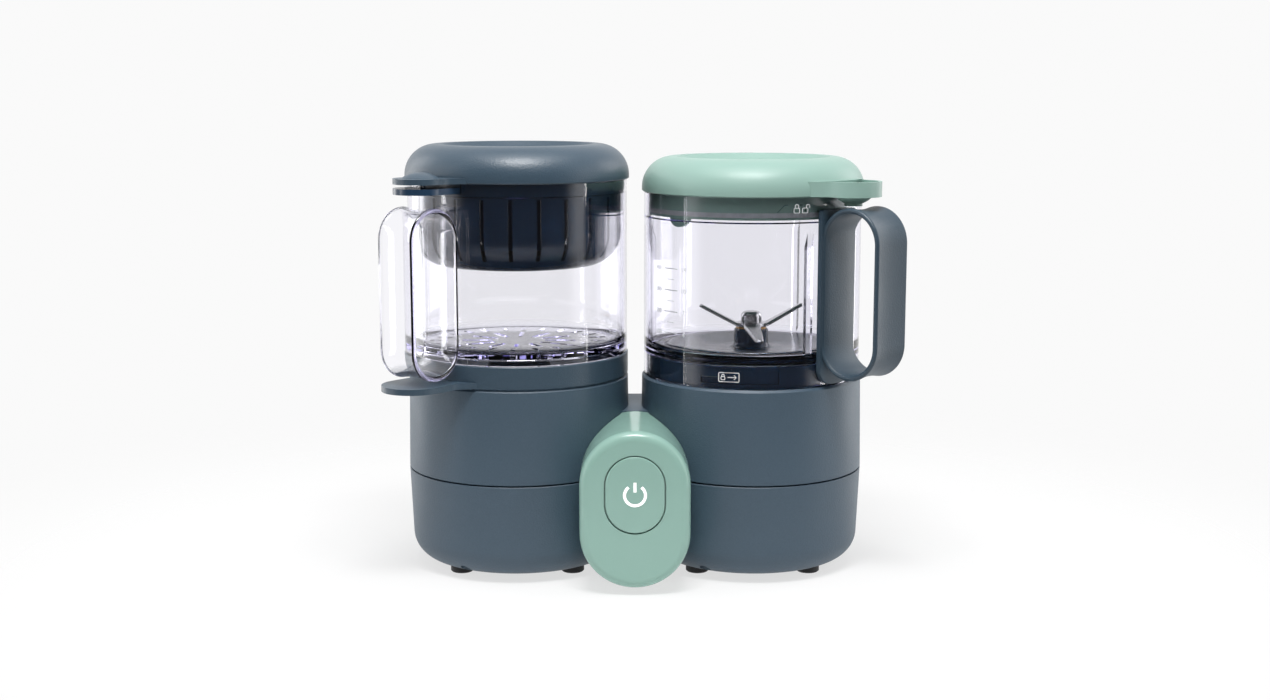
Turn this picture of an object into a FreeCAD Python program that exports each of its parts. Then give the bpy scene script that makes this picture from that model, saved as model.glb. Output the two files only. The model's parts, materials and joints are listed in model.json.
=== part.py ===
import FreeCAD, Part
import math
import os

from FreeCAD import Vector

# Two-tower baby food maker: a steamer stack on the left tower, a blender on the right tower.
# Lengths are millimetres and angles are degrees. Each piece is drawn in the machine's own frame,
# with x = 0 between the towers, y = 0 through their axes, -y to the front and z = 0 at the feet.
# At the end the whole machine is moved so that the origin is the bottom centre of its box.

# Clearances
RUNNING_GAP = 0.05          # shaft in a bush, per side
SLIP_GAP = 0.4              # between pieces that lift out of each other
SEAT_GAP = 0.3              # between faces that must not quite touch
SMALLEST = 1e-6

# Edges that several pieces share
LARGEST_FLAT = 1.2          # edges up to this size are broken with a flat, larger ones are rounded
FINE_EDGE = 0.3
SMALL_EDGE = 0.5
SOFT_EDGE = 0.8
INNER_BEND = 2.0
FLOOR_BLEND = 3.0
VESSEL_BLEND = 5.0

# Base
TOWER_GAP = 6.0             # between the two seams
FOOT_PROUD = 3.0
SEAM_HEIGHT = 52.0
SEAM_GAP = 0.8
DECK_HEIGHT = 101.0
TUB_TAPER = 1.3             # tub's foot inside the deck's edge
TUB_CORNER = 14.0
SEAM_FLARE = 0.8            # seam outside the deck's edge
DECK_EDGE = 1.2
HOUSING_WALL = 2.6
SPIGOT_WALL = 1.8
SPIGOT_HEIGHT = 4.0
BRIDGE_HEIGHT = 83.6
BRIDGE_FRONT = -20.0
BRIDGE_BACK = 32.0
BRIDGE_EDGE = 2.0

# Feet and housing screws
FOOT_RADIUS = 6.0
FOOT_CIRCLE = 41.0
FOOT_POCKET = 1.2
FOOT_EDGE = 0.6
FEET_PER_TOWER = 4
FOOT_FIRST = 45.0
SCREWS_PER_TOWER = 3
SCREW_RADIUS = 1.5
SCREW_LENGTH = 15.0
SCREW_HEAD_RADIUS = 2.7
SCREW_HEAD_HEIGHT = 2.4
SCREW_SEAT_HEIGHT = 30.0
SCREW_BOSS_WALL = 1.3
SCREW_SEAT_WALL = 3.0
PILLAR_RADIUS = 3.2

# Vents under the motor
VENT_COUNT = 8
VENT_WIDTH = 3.0
VENT_INNER = 12.0
VENT_OUTER = 30.0

# Control panel, button and board
PANEL_HALF_WIDTH = 27.75
PANEL_LOW = 3.5
PANEL_HIGH = 83.5
PANEL_FRONT = -75.0
PANEL_EDGE = 4.5
PANEL_WALL = 2.4
BUTTON_HALF_WIDTH = 14.75
BUTTON_HEIGHT = 38.7
BUTTON_CENTRE = 51.8
BUTTON_GAP = 0.65
BUTTON_PROUD = 0.3
BUTTON_EDGE = 0.6
BUTTON_SKIN = 2.2
BUTTON_RIM = 1.6
BUTTON_LIP = 1.8
BUTTON_TRAVEL = 1.5
BUTTON_STEM_RADIUS = 3.0
BOARD_BEHIND = 9.0
BOARD_THICKNESS = 1.6
BOARD_HALF_WIDTH = 18.0
BOARD_HEIGHT = 42.0
BOARD_POST_RADIUS = 2.5
BOARD_POST_INSET = 3.0
SWITCH_SIDE = 6.0
SWITCH_HEIGHT = 3.5
SWITCH_PLUNGER_RADIUS = 1.7
SWITCH_PLUNGER_HEIGHT = 1.5
INDICATOR_RADIUS = 1.5
INDICATOR_HEIGHT = 3.0
INDICATOR_OFFSET = 14.0

# Boiler in the left tower
PAN_INSET = 11.9            # from the deck's edge to the pan's wall
PAN_DEPTH = 21.6
PAN_SHEET = 1.0
PAN_FLANGE = 4.0
PAN_CORNER = 8.0
PAN_BELOW_DECK = 0.4
SEAL_HEIGHT = 1.2
HEATER_PLATE_RADIUS = 36.0
HEATER_PLATE = 2.0
HEATER_RING_RADIUS = 28.0
HEATER_TUBE_RADIUS = 3.5
HEATER_TUBE_SWEEP = 300.0
TERMINAL_RADIUS = 1.5
TERMINAL_LENGTH = 12.0
THERMOSTAT_RADIUS = 8.0
THERMOSTAT_HEIGHT = 7.0
THERMOSTAT_TAB_LENGTH = 9.0
THERMOSTAT_TAB_WIDTH = 6.0
THERMOSTAT_TAB = 0.8
POWER_BOARD_LENGTH = 64.0
POWER_BOARD_WIDTH = 46.0
POWER_BOARD_LIFT = 7.0
RELAY_SIZE = (19.0, 15.5, 15.0)
CAPACITOR_RADIUS = 6.5
CAPACITOR_HEIGHT = 20.0

# Motor in the right tower
WELL_INSET = 5.9            # from the deck's edge to the well's wall
WELL_DEPTH = 5.0
DOG_COUNT = 3
DOG_WIDTH = 7.0
DOG_DEPTH = 3.6
DOG_HEIGHT = 3.4
MOTOR_RADIUS = 31.0
MOTOR_LENGTH = 50.0
MOTOR_SHEET = 1.8
MOTOR_CORNER = 4.0
MAGNET_THICKNESS = 6.0
MAGNET_ANGLE = 140.0
MAGNET_END_GAP = 6.0
ARMATURE_GAP = 0.8
ARMATURE_SLOTS = 12
ARMATURE_SLOT_WIDTH = 2.2
ARMATURE_SLOT_DEPTH = 7.0
COMMUTATOR_RADIUS = 8.0
COMMUTATOR_LENGTH = 9.0
BRACKET_RADIUS = 40.0
BRACKET_PLATE = 2.5
BRACKET_SCREW_CIRCLE = 36.0
BRACKET_SCREWS = 3
MOTOR_SHAFT_RADIUS = 3.0
BUSH_RADIUS = 6.5
BUSH_FLANGE_RADIUS = 8.5
BUSH_FLANGE = 1.0

# Couplings between motor and blade
LOBES = 6
LOBE_CIRCLE = 6.8
LOBE_RADIUS = 2.2
COUPLING_CORE = 6.5
COUPLING_HEIGHT = 7.5
COUPLING_GAP = 0.4
COUPLING_WALL = 3.6
COUPLING_ROOF = 3.0

# Drip tray, bowl, basket and lid of the steamer
TRAY_PROUD = 0.5            # tray's wall outside the bowl's
TRAY_HEIGHT = 12.0
TRAY_WALL = 2.4
TRAY_FLOOR = 2.2
CHIMNEY_RADIUS = 14.0
CHIMNEY_DROP = 2.0
TRAY_SPIGOT = 3.0
TRAY_TAB_LENGTH = 34.1
TRAY_TAB_HALF_WIDTH = 16.0
TRAY_TAB_THICKNESS = 3.0
TRAY_TAB_LIFT = 0.6
BOWL_RADIUS = 57.4
BOWL_WALL = 2.4
BOWL_HEIGHT = 91.0
BOWL_FLOOR_LIFT = 3.0
BOWL_FLOOR = 2.2
BOWL_FOOT = 5.0
BOWL_FOOT_WALL = 2.4
BOWL_RIM_WALL = 1.2
BASKET_LEDGE_DEPTH = 6.6
BASKET_DEPTH = 45.0
BASKET_WALL = 1.8
BASKET_CORNER = 17.5
BASKET_SIDE_GAP = 0.7
BASKET_SLOTS = 24
BASKET_SLOT_WIDTH = 2.1
BASKET_SLOT_TOP = 8.0
BASKET_SLOT_BOTTOM = 39.0
BASKET_FLOOR_SLOTS = 12
FLOOR_SLOT_INNER = 14.0
FLOOR_SLOT_OUTER = 30.0
BOWL_SLOTS = 24
BOWL_SLOT_WIDTH = 2.4
BOWL_SLOT_LENGTH = 10.0
BOWL_SLOT_MARGIN = 7.0
BASKET_TAB_THICKNESS = 3.0
BASKET_TAB_DROP = 2.0

# Blade unit, jar and lid of the blender
COLLAR_SIDE_GAP = 0.7       # under the jar's skirt
COLLAR_HEIGHT = 11.6
COLLAR_WALL = 2.6
COLLAR_ROOF = 2.6
PLUG_RISE = 4.4
PLUG_GAP = 0.8
PLUG_DISH = 2.0
PLUG_RIM = 4.0
DISH_BLEND = 6.0
HUB_RADIUS = 9.0
HUB_RISE = 8.0
FLAT_SEAL = 0.8
FLAT_SEAL_WIDTH = 6.8
LUG_COUNT = 3
LUG_ANGLE = 12.0
LUG_PROUD = 1.9
LUG_HEIGHT = 3.0
LUG_LIFT = 2.6
LUG_FIRST = 5.0
TWIST_ANGLE = 30.0
BLADE_SHAFT_RADIUS = 4.0
BLADE_BUSH_WALL = 2.0
BLADE_BUSH_INSET = 1.0
BLADE_TIP_RADIUS = 3.0
BLADE_SHEET = 1.6
BLADE_REACH = 30.0
BLADE_WIDTH = 9.0
BLADE_TIP_WIDTH = 4.0
BLADE_WINGS = 4
BLADE_UP_TILT = 28.0
BLADE_DOWN_TILT = -14.0
BLADE_BOSS_RADIUS = 8.0
BLADE_EDGE = 0.7
BLADE_CORNER = 1.5
NUT_RADIUS = 5.5
NUT_HEIGHT = 6.0
JAR_INSET = 1.0             # jar's wall inside the deck's edge
JAR_WALL = 3.2
JAR_RIM_WALL = 2.4
JAR_HEIGHT = 96.2
JAR_STEP_DEPTH = 12.5
JAR_LEDGE = 2.6
JAR_LEDGE_WIDTH = 7.7
JAR_RIBS = 3
JAR_RIB_FIRST = -62.0
JAR_RIB_WIDTH = 3.4
JAR_RIB_PROUD = 2.6
JAR_RIB_TOP_DEPTH = 17.5
JAR_RIB_POINT = 8.0

# Lids
LID_HEIGHT = 18.0
LID_OVERHANG = 1.2
LID_SHOULDER = 16.0
LID_SHEET = 2.2
DISH_INSET = 17.4           # from the bowl's wall to the dish in the lid
DISH_DEPTH = 3.4
DISH_SLOPE = 4.0
DISH_CORNER = 4.0
LID_SKIRT_WALL = 2.2
STEAMER_SKIRT = 5.0
BLENDER_SKIRT = 11.5
LID_SEAL_HEIGHT = 2.4
LID_SEAL_DEPTH = 1.2
LID_SEAL_PROUD = 0.1
LID_SEAL_LIFT = 1.2
TAB_LENGTH = 25.1
TAB_HALF_WIDTH = 13.5
TAB_THICKNESS = 2.8
TAB_ROOT_BLEND = 8.0
TAB_ROOT_WIDTH = 10.0
THUMB_RADIUS = 9.5
THUMB_RISE = 3.0
CUP_LENGTH = 23.6
CUP_HALF_WIDTH = 14.0
CUP_HEIGHT = 7.6
CUP_WALL = 1.8
CUP_FLOOR = 2.4
BOSS_RADIUS = 9.5
BOSS_DROP = 4.2
STEM_RADIUS = 4.5
TONGUE_ANGLE = -137.0
TONGUE_HALF_WIDTH = 6.5
TONGUE_DROP = 4.6

# Loop handles
BOWL_HANDLE_SWING = 50.0    # turned from straight out at the side towards the front
JAR_HANDLE_SWING = 45.0
HANDLE_WIDTH = 22.0
HANDLE_BAND = 2.6
HANDLE_LIFT = 5.5           # from the deck to the loops
BOWL_HANDLE_DROP = 11.5     # from the bowl's rim to its loop
JAR_HANDLE_DROP = 5.0       # from the jar's rim to its loop
BOWL_HANDLE_REACH = 87.0
JAR_HANDLE_REACH = 91.5
HANDLE_SINK = 0.8
PAD_HALF_WIDTH = 13.4
PAD_THICKNESS = 2.4
PAD_LIFT = 1.6
PAD_DROP = 6.5
PAD_CORNER = 8.0

# Cord gland at the back
GLAND_HEIGHT = 22.0
GLAND_RADIUS = 5.0
GLAND_FLANGE_RADIUS = 7.5
GLAND_FLANGE = 2.0
GLAND_DEPTH = 9.0
GLAND_BORE = 3.2

# Levels and places that follow from the sizes above
UP = Vector(0, 0, 1)
SIDEWAYS = Vector(1, 0, 0)
BACKWARDS = Vector(0, 1, 0)
TRAY_RADIUS = BOWL_RADIUS + TRAY_PROUD
DECK_RADIUS = TRAY_RADIUS
SEAM_RADIUS = DECK_RADIUS + SEAM_FLARE
TUB_FOOT_RADIUS = DECK_RADIUS - TUB_TAPER
PAN_RADIUS = DECK_RADIUS - PAN_INSET
WELL_RADIUS = DECK_RADIUS - WELL_INSET
JAR_RADIUS = DECK_RADIUS - JAR_INSET
DISH_RADIUS = BOWL_RADIUS - DISH_INSET
TRAY_TAB_REACH = TRAY_RADIUS + TRAY_TAB_LENGTH
TAB_REACH = BOWL_RADIUS + TAB_LENGTH
CUP_REACH = JAR_RADIUS + CUP_LENGTH
TOWER_SPACING = 2 * SEAM_RADIUS + TOWER_GAP
LEFT_X = -TOWER_SPACING / 2
RIGHT_X = TOWER_SPACING / 2
BOWL_HANDLE_ANGLE = 180 + BOWL_HANDLE_SWING
JAR_HANDLE_ANGLE = -JAR_HANDLE_SWING
SEAM_LOW = SEAM_HEIGHT - SEAM_GAP / 2
SEAM_HIGH = SEAM_HEIGHT + SEAM_GAP / 2
TUB_FLOOR = FOOT_PROUD + HOUSING_WALL
SPIGOT_RADIUS = SEAM_RADIUS - HOUSING_WALL - SEAT_GAP
SPIGOT_INNER = SPIGOT_RADIUS - SPIGOT_WALL
SCREW_CIRCLE = SPIGOT_INNER - SEAT_GAP - PILLAR_RADIUS
PAN_TOP = DECK_HEIGHT - PAN_BELOW_DECK
PAN_FLANGE_LOW = PAN_TOP - PAN_SHEET
PAN_SEAT = PAN_FLANGE_LOW - SEAL_HEIGHT
PAN_FLANGE_RADIUS = PAN_RADIUS + PAN_SHEET + PAN_FLANGE
PAN_FLOOR = PAN_TOP - PAN_DEPTH
PAN_UNDERSIDE = PAN_FLOOR - PAN_SHEET
WELL_FLOOR = DECK_HEIGHT - WELL_DEPTH
WELL_UNDERSIDE = WELL_FLOOR - HOUSING_WALL
TRAY_TOP = DECK_HEIGHT + TRAY_HEIGHT
BOWL_INNER = BOWL_RADIUS - BOWL_WALL
BOWL_SLOT_OUTER = BOWL_INNER - BOWL_SLOT_MARGIN
BOWL_SLOT_INNER = BOWL_SLOT_OUTER - BOWL_SLOT_LENGTH
BOWL_RIM = TRAY_TOP + BOWL_HEIGHT
BOWL_FLOOR_LOW = TRAY_TOP + BOWL_FLOOR_LIFT
BOWL_FLOOR_TOP = BOWL_FLOOR_LOW + BOWL_FLOOR
BASKET_LEDGE = BOWL_RIM - BASKET_LEDGE_DEPTH
BASKET_BOTTOM = BOWL_RIM - BASKET_DEPTH
BASKET_RADIUS = BOWL_INNER - BASKET_SIDE_GAP
BASKET_COLLAR = BOWL_RADIUS - BOWL_RIM_WALL - SLIP_GAP
BASKET_COLLAR_INNER = BASKET_COLLAR - BASKET_WALL
BASKET_TOP = BOWL_RIM - SEAT_GAP
COLLAR_LOW = DECK_HEIGHT + SEAT_GAP
COLLAR_TOP = DECK_HEIGHT + COLLAR_HEIGHT
COLLAR_SKIRT_RADIUS = WELL_RADIUS - SLIP_GAP
COLLAR_BORE = COLLAR_SKIRT_RADIUS - COLLAR_WALL
COLLAR_CEILING = COLLAR_TOP - COLLAR_ROOF
PLUG_TOP = COLLAR_TOP + PLUG_RISE
HUB_TOP = PLUG_TOP + HUB_RISE
JAR_LOW = COLLAR_LOW
JAR_RIM = JAR_LOW + JAR_HEIGHT
JAR_LEDGE_LOW = COLLAR_TOP + FLAT_SEAL
JAR_LEDGE_TOP = JAR_LEDGE_LOW + JAR_LEDGE
JAR_INNER = JAR_RADIUS - JAR_WALL
JAR_RIM_INNER = JAR_RADIUS - JAR_RIM_WALL
JAR_LEDGE_INNER = JAR_INNER - JAR_LEDGE_WIDTH
COLLAR_RADIUS = JAR_RIM_INNER - COLLAR_SIDE_GAP
PLUG_RADIUS = JAR_LEDGE_INNER - PLUG_GAP
JAR_STEP = JAR_RIM - JAR_STEP_DEPTH
LUG_LOW = COLLAR_LOW + LUG_LIFT
HANDLE_LOW = DECK_HEIGHT + HANDLE_LIFT
BOWL_HANDLE_HIGH = BOWL_RIM - BOWL_HANDLE_DROP
JAR_HANDLE_HIGH = JAR_RIM - JAR_HANDLE_DROP
PAD_LOW = DECK_HEIGHT + PAD_LIFT
PAD_HIGH = JAR_RIM - PAD_DROP
MOTOR_TOP = WELL_UNDERSIDE - BRACKET_PLATE
MOTOR_BOTTOM = MOTOR_TOP - MOTOR_LENGTH
ARMATURE_RADIUS = MOTOR_RADIUS - MOTOR_SHEET - MAGNET_THICKNESS - ARMATURE_GAP
DRIVE_LOW = WELL_FLOOR + BUSH_FLANGE + SEAT_GAP
DRIVE_TOP = DRIVE_LOW + COUPLING_HEIGHT
DRIVEN_SOCKET_TOP = DRIVE_TOP + SEAT_GAP
DRIVEN_TOP = DRIVEN_SOCKET_TOP + COUPLING_ROOF
BLADE_HEIGHT = HUB_TOP + BUSH_FLANGE + SEAT_GAP
BUTTON_LOW = BUTTON_CENTRE - BUTTON_HEIGHT / 2
BUTTON_HIGH = BUTTON_CENTRE + BUTTON_HEIGHT / 2
PANEL_INSIDE = PANEL_FRONT + PANEL_WALL
BOARD_FRONT = PANEL_INSIDE + BOARD_BEHIND
SWITCH_TIP = BOARD_FRONT - SWITCH_HEIGHT - SWITCH_PLUNGER_HEIGHT


# Small tools for drawing

def moved(shape, x=0, y=0, z=0):
    """A copy of shape, moved."""
    copy = shape.copy()
    copy.translate(Vector(x, y, z))
    return copy


def turned(shape, degrees):
    """A copy of shape, turned about the Z axis."""
    copy = shape.copy()
    copy.rotate(Vector(), UP, degrees)
    return copy


def around(shape, count, first=0.0):
    """Copies of shape spread evenly about the Z axis."""
    return [turned(shape, first + 360.0 * i / count) for i in range(count)]


def disc(radius, low, high, x=0, y=0):
    return Part.makeCylinder(radius, high - low, Vector(x, y, low))


def ring(outer, inner, low, high):
    return disc(outer, low, high).cut(disc(inner, low, high))


def block(x_low, x_high, y_low, y_high, z_low, z_high):
    return Part.makeBox(x_high - x_low, y_high - y_low, z_high - z_low, Vector(x_low, y_low, z_low))


def rounded_face(corners, place):
    """Face inside the corners (u, v, size), each broken or rounded by its size; place puts u, v in space."""
    points = [Vector(u, v, 0) for u, v, _ in corners]
    bends = []
    for i, (_, _, radius) in enumerate(corners):
        here = points[i]
        back = (points[i - 1] - here).normalize()
        ahead = (points[(i + 1) % len(points)] - here).normalize()
        half = back.getAngle(ahead) / 2
        reach = radius / math.tan(half)
        inward = radius / math.sin(half) - radius
        middle = here + (back + ahead).normalize() * inward if radius else here
        bends.append((here + back * reach, middle, here + ahead * reach))
    edges = []
    for i, (start, middle, end) in enumerate(bends):
        before = bends[i - 1][2]
        if before.distanceToPoint(start) > SMALLEST:
            edges.append(Part.LineSegment(place(before), place(start)).toShape())
        if corners[i][2] > LARGEST_FLAT:
            edges.append(Part.Arc(place(start), place(middle), place(end)).toShape())
        elif corners[i][2] > 0:
            edges.append(Part.LineSegment(place(start), place(end)).toShape())
    return Part.Face(Part.Wire(edges))


def lathe(corners, degrees=360.0):
    """Solid turned about the Z axis from the corners (radius, height, rounding)."""
    return rounded_face(corners, lambda p: Vector(p.x, 0, p.y)).revolve(Vector(), UP, degrees)


def plate(corners, low, high):
    """Solid drawn in plan from the corners (x, y, rounding) and raised from low to high."""
    return rounded_face(corners, lambda p: Vector(p.x, p.y, low)).extrude(UP * (high - low))


def stadium(half_width, low, high, front, back):
    """Upright stadium, flat sides and round ends, running from front to back."""
    corners = [(-half_width, low, half_width), (half_width, low, half_width),
               (half_width, high, half_width), (-half_width, high, half_width)]
    face = rounded_face(corners, lambda p: Vector(p.x, front, p.y))
    return face.extrude(BACKWARDS * (back - front))


def sector(inner, outer, low, high, start, sweep):
    """Part of a ring, from the angle start over the angle sweep."""
    corners = [(inner, low, 0), (outer, low, 0), (outer, high, 0), (inner, high, 0)]
    return turned(lathe(corners, sweep), start)


def tongue(root, reach, half_width, low, high):
    """Flat tab along +X: a full-round tip, straight sides and a blended root inside the radius root."""
    shoulder = root + TAB_ROOT_BLEND / 2
    corners = [(root - TAB_ROOT_WIDTH, -half_width - TAB_ROOT_WIDTH, 0),
               (shoulder, -half_width, TAB_ROOT_BLEND),
               (reach, -half_width, half_width), (reach, half_width, half_width),
               (shoulder, half_width, TAB_ROOT_BLEND),
               (root - TAB_ROOT_WIDTH, half_width + TAB_ROOT_WIDTH, 0)]
    return plate(corners, low, high)


def cap(radius, rise):
    """Spherical cap standing on z = 0."""
    sphere_radius = (radius ** 2 + rise ** 2) / (2 * rise)
    half_angle = math.asin(radius / sphere_radius) / 2
    drop = sphere_radius * (1 - math.cos(half_angle))
    middle = Vector(sphere_radius * math.sin(half_angle), 0, rise - drop)
    rim = Vector(radius, 0, 0)
    top = Vector(0, 0, rise)
    outline = [Part.LineSegment(Vector(), rim), Part.Arc(rim, middle, top), Part.LineSegment(top, Vector())]
    return Part.Face(Part.Wire([line.toShape() for line in outline])).revolve(Vector(), UP, 360)


# Towers

def tower_envelope(extra, corner):
    """Outside of a tower, grown by extra, as one solid whose lower edge is rounded by corner."""
    return lathe([(0, FOOT_PROUD - extra, 0),
                  (TUB_FOOT_RADIUS + extra, FOOT_PROUD - extra, corner),
                  (SEAM_RADIUS + extra, SEAM_LOW, 0),
                  (SEAM_RADIUS + extra, SEAM_HIGH, 0),
                  (DECK_RADIUS + extra, DECK_HEIGHT + extra, 0),
                  (0, DECK_HEIGHT + extra, 0)])


def both_envelopes(extra, corner):
    envelope = tower_envelope(extra, corner)
    return moved(envelope, LEFT_X).fuse(moved(envelope, RIGHT_X))


def screw_places():
    return [turned(Part.Vertex(SCREW_CIRCLE, 0, 0), 360.0 * i / SCREWS_PER_TOWER).Point
            for i in range(SCREWS_PER_TOWER)]


def tub():
    """Lower moulding of a tower: a cup with a spigot, foot pockets and deep screw holes."""
    spigot_root = SEAM_LOW - SPIGOT_HEIGHT
    shape = lathe([(0, FOOT_PROUD, 0),
                   (TUB_FOOT_RADIUS, FOOT_PROUD, TUB_CORNER),
                   (SEAM_RADIUS, SEAM_LOW, FINE_EDGE),
                   (SPIGOT_RADIUS, SEAM_LOW, 0),
                   (SPIGOT_RADIUS, SEAM_LOW + SPIGOT_HEIGHT, FINE_EDGE),
                   (SPIGOT_INNER, SEAM_LOW + SPIGOT_HEIGHT, FINE_EDGE),
                   (SPIGOT_INNER, spigot_root, 0),
                   (SEAM_RADIUS - HOUSING_WALL, spigot_root - SPIGOT_HEIGHT, 0),
                   (TUB_FOOT_RADIUS - HOUSING_WALL, TUB_FLOOR, TUB_CORNER - HOUSING_WALL),
                   (0, TUB_FLOOR, 0)])
    inside = tower_envelope(-HOUSING_WALL / 2, TUB_CORNER - HOUSING_WALL / 2)
    bore = SCREW_HEAD_RADIUS + SEAT_GAP
    boss = disc(bore + SCREW_BOSS_WALL, FOOT_PROUD, SCREW_SEAT_HEIGHT + SCREW_SEAT_WALL)
    hole = disc(bore, 0, SCREW_SEAT_HEIGHT)
    clearance = disc(SCREW_RADIUS + RUNNING_GAP, 0, SCREW_SEAT_HEIGHT + SCREW_SEAT_WALL)
    bosses = [moved(boss, place.x, place.y).common(inside) for place in screw_places()]
    holes = [moved(hole.fuse(clearance), place.x, place.y) for place in screw_places()]
    pocket = disc(FOOT_RADIUS, 0, FOOT_PROUD + FOOT_POCKET, FOOT_CIRCLE)
    return shape.fuse(bosses).cut(holes + around(pocket, FEET_PER_TOWER, FOOT_FIRST))


def vented(shape):
    """The tub with radial air slots in its floor."""
    slot = block(VENT_INNER, VENT_OUTER, -VENT_WIDTH / 2, VENT_WIDTH / 2, 0, TUB_FLOOR + HOUSING_WALL)
    return shape.cut(around(slot, VENT_COUNT, 180.0 / VENT_COUNT))


def with_pillars(shape, top):
    """The sleeve with the pillars that the housing screws go into."""
    bottom = SCREW_SEAT_HEIGHT + SCREW_SEAT_WALL
    thread_end = SCREW_SEAT_HEIGHT + SCREW_LENGTH
    pilot = disc(SCREW_RADIUS + RUNNING_GAP, bottom, thread_end)
    pillar = disc(PILLAR_RADIUS, bottom, top).cut(pilot)
    return shape.fuse([moved(pillar, place.x, place.y) for place in screw_places()])


def sleeve_inner(height):
    """Inside radius of a sleeve's tapered wall at a height."""
    share = (height - SEAM_HIGH) / (DECK_HEIGHT - SEAM_HIGH)
    return SEAM_RADIUS + (DECK_RADIUS - SEAM_RADIUS) * share - HOUSING_WALL


def left_sleeve():
    """Upper moulding of the steamer tower, with the seat and hole for the boiler pan."""
    deck_low = PAN_SEAT - HOUSING_WALL
    hole = PAN_RADIUS + PAN_SHEET + SEAT_GAP
    shape = lathe([(SEAM_RADIUS, SEAM_HIGH, FINE_EDGE),
                   (DECK_RADIUS, DECK_HEIGHT, DECK_EDGE),
                   (PAN_FLANGE_RADIUS + SLIP_GAP, DECK_HEIGHT, SMALL_EDGE),
                   (PAN_FLANGE_RADIUS + SLIP_GAP, PAN_SEAT, 0),
                   (hole, PAN_SEAT, 0),
                   (hole, deck_low, 0),
                   (sleeve_inner(deck_low), deck_low, INNER_BEND),
                   (sleeve_inner(SEAM_HIGH), SEAM_HIGH, 0)])
    return with_pillars(shape, deck_low)


def right_sleeve():
    """Upper moulding of the blender tower, with the well and its dogs that hold the blade unit."""
    shape = lathe([(SEAM_RADIUS, SEAM_HIGH, FINE_EDGE),
                   (DECK_RADIUS, DECK_HEIGHT, DECK_EDGE),
                   (WELL_RADIUS, DECK_HEIGHT, SMALL_EDGE),
                   (WELL_RADIUS, WELL_FLOOR, 0),
                   (BUSH_RADIUS, WELL_FLOOR, 0),
                   (BUSH_RADIUS, WELL_UNDERSIDE, 0),
                   (sleeve_inner(WELL_UNDERSIDE), WELL_UNDERSIDE, INNER_BEND),
                   (sleeve_inner(SEAM_HIGH), SEAM_HIGH, 0)])
    dog = block(WELL_RADIUS - DOG_DEPTH, WELL_RADIUS + SEAT_GAP, -DOG_WIDTH / 2, DOG_WIDTH / 2,
                WELL_FLOOR, WELL_FLOOR + DOG_HEIGHT)
    return with_pillars(shape.fuse(around(dog, DOG_COUNT, LUG_FIRST)), WELL_UNDERSIDE)


def bridge():
    """Moulding between the towers, with a round-edged top and a seat for the cord gland."""
    half_width = PANEL_HALF_WIDTH
    corners = [(-half_width, FOOT_PROUD + BRIDGE_EDGE, BRIDGE_EDGE),
               (half_width, FOOT_PROUD + BRIDGE_EDGE, BRIDGE_EDGE),
               (half_width, BRIDGE_HEIGHT, BRIDGE_EDGE), (-half_width, BRIDGE_HEIGHT, BRIDGE_EDGE)]
    face = rounded_face(corners, lambda p: Vector(p.x, BRIDGE_FRONT, p.y))
    shape = face.extrude(BACKWARDS * (BRIDGE_BACK - BRIDGE_FRONT))
    back_edges = [e for e in shape.Edges if e.BoundBox.YMin > BRIDGE_BACK - SMALLEST]
    shape = shape.makeFillet(BRIDGE_EDGE, back_edges)
    seat = Part.makeCylinder(GLAND_RADIUS, GLAND_DEPTH, Vector(0, BRIDGE_BACK, GLAND_HEIGHT), -BACKWARDS)
    return shape.cut(both_envelopes(0, 0)).cut(seat)


def cord_gland():
    """Rubber bush in the back of the bridge, with the blind bore that a lead would fill."""
    mouth = Vector(0, BRIDGE_BACK, GLAND_HEIGHT)
    shape = Part.makeCylinder(GLAND_RADIUS, GLAND_DEPTH, mouth, -BACKWARDS)
    flange = Part.makeCone(GLAND_FLANGE_RADIUS, GLAND_RADIUS, GLAND_FLANGE, mouth, BACKWARDS)
    bore_start = mouth + BACKWARDS * GLAND_FLANGE
    bore = Part.makeCylinder(GLAND_BORE, GLAND_DEPTH, bore_start, -BACKWARDS)
    return shape.fuse(flange).cut(bore)


def feet():
    """Rubber feet, seated in the pockets of both tubs."""
    foot = lathe([(0, 0, 0), (FOOT_RADIUS, 0, FOOT_EDGE),
                  (FOOT_RADIUS, FOOT_PROUD + FOOT_POCKET, 0), (0, FOOT_PROUD + FOOT_POCKET, 0)])
    one_tower = around(moved(foot, FOOT_CIRCLE), FEET_PER_TOWER, FOOT_FIRST)
    return [moved(one, x) for x in (LEFT_X, RIGHT_X) for one in one_tower]


def screw(head_radius, head_height, radius, length):
    """Pan-head screw standing on its head, with the seat of the head at z = 0."""
    head = lathe([(0, -head_height, 0), (head_radius, -head_height, head_height / 2),
                  (head_radius, 0, 0), (0, 0, 0)])
    return head.fuse(disc(radius, 0, length))


def housing_screws():
    one = screw(SCREW_HEAD_RADIUS, SCREW_HEAD_HEIGHT, SCREW_RADIUS, SCREW_LENGTH)
    one = moved(one, 0, 0, SCREW_SEAT_HEIGHT)
    return [moved(one, x + place.x, place.y) for x in (LEFT_X, RIGHT_X) for place in screw_places()]


# Control panel

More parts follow.
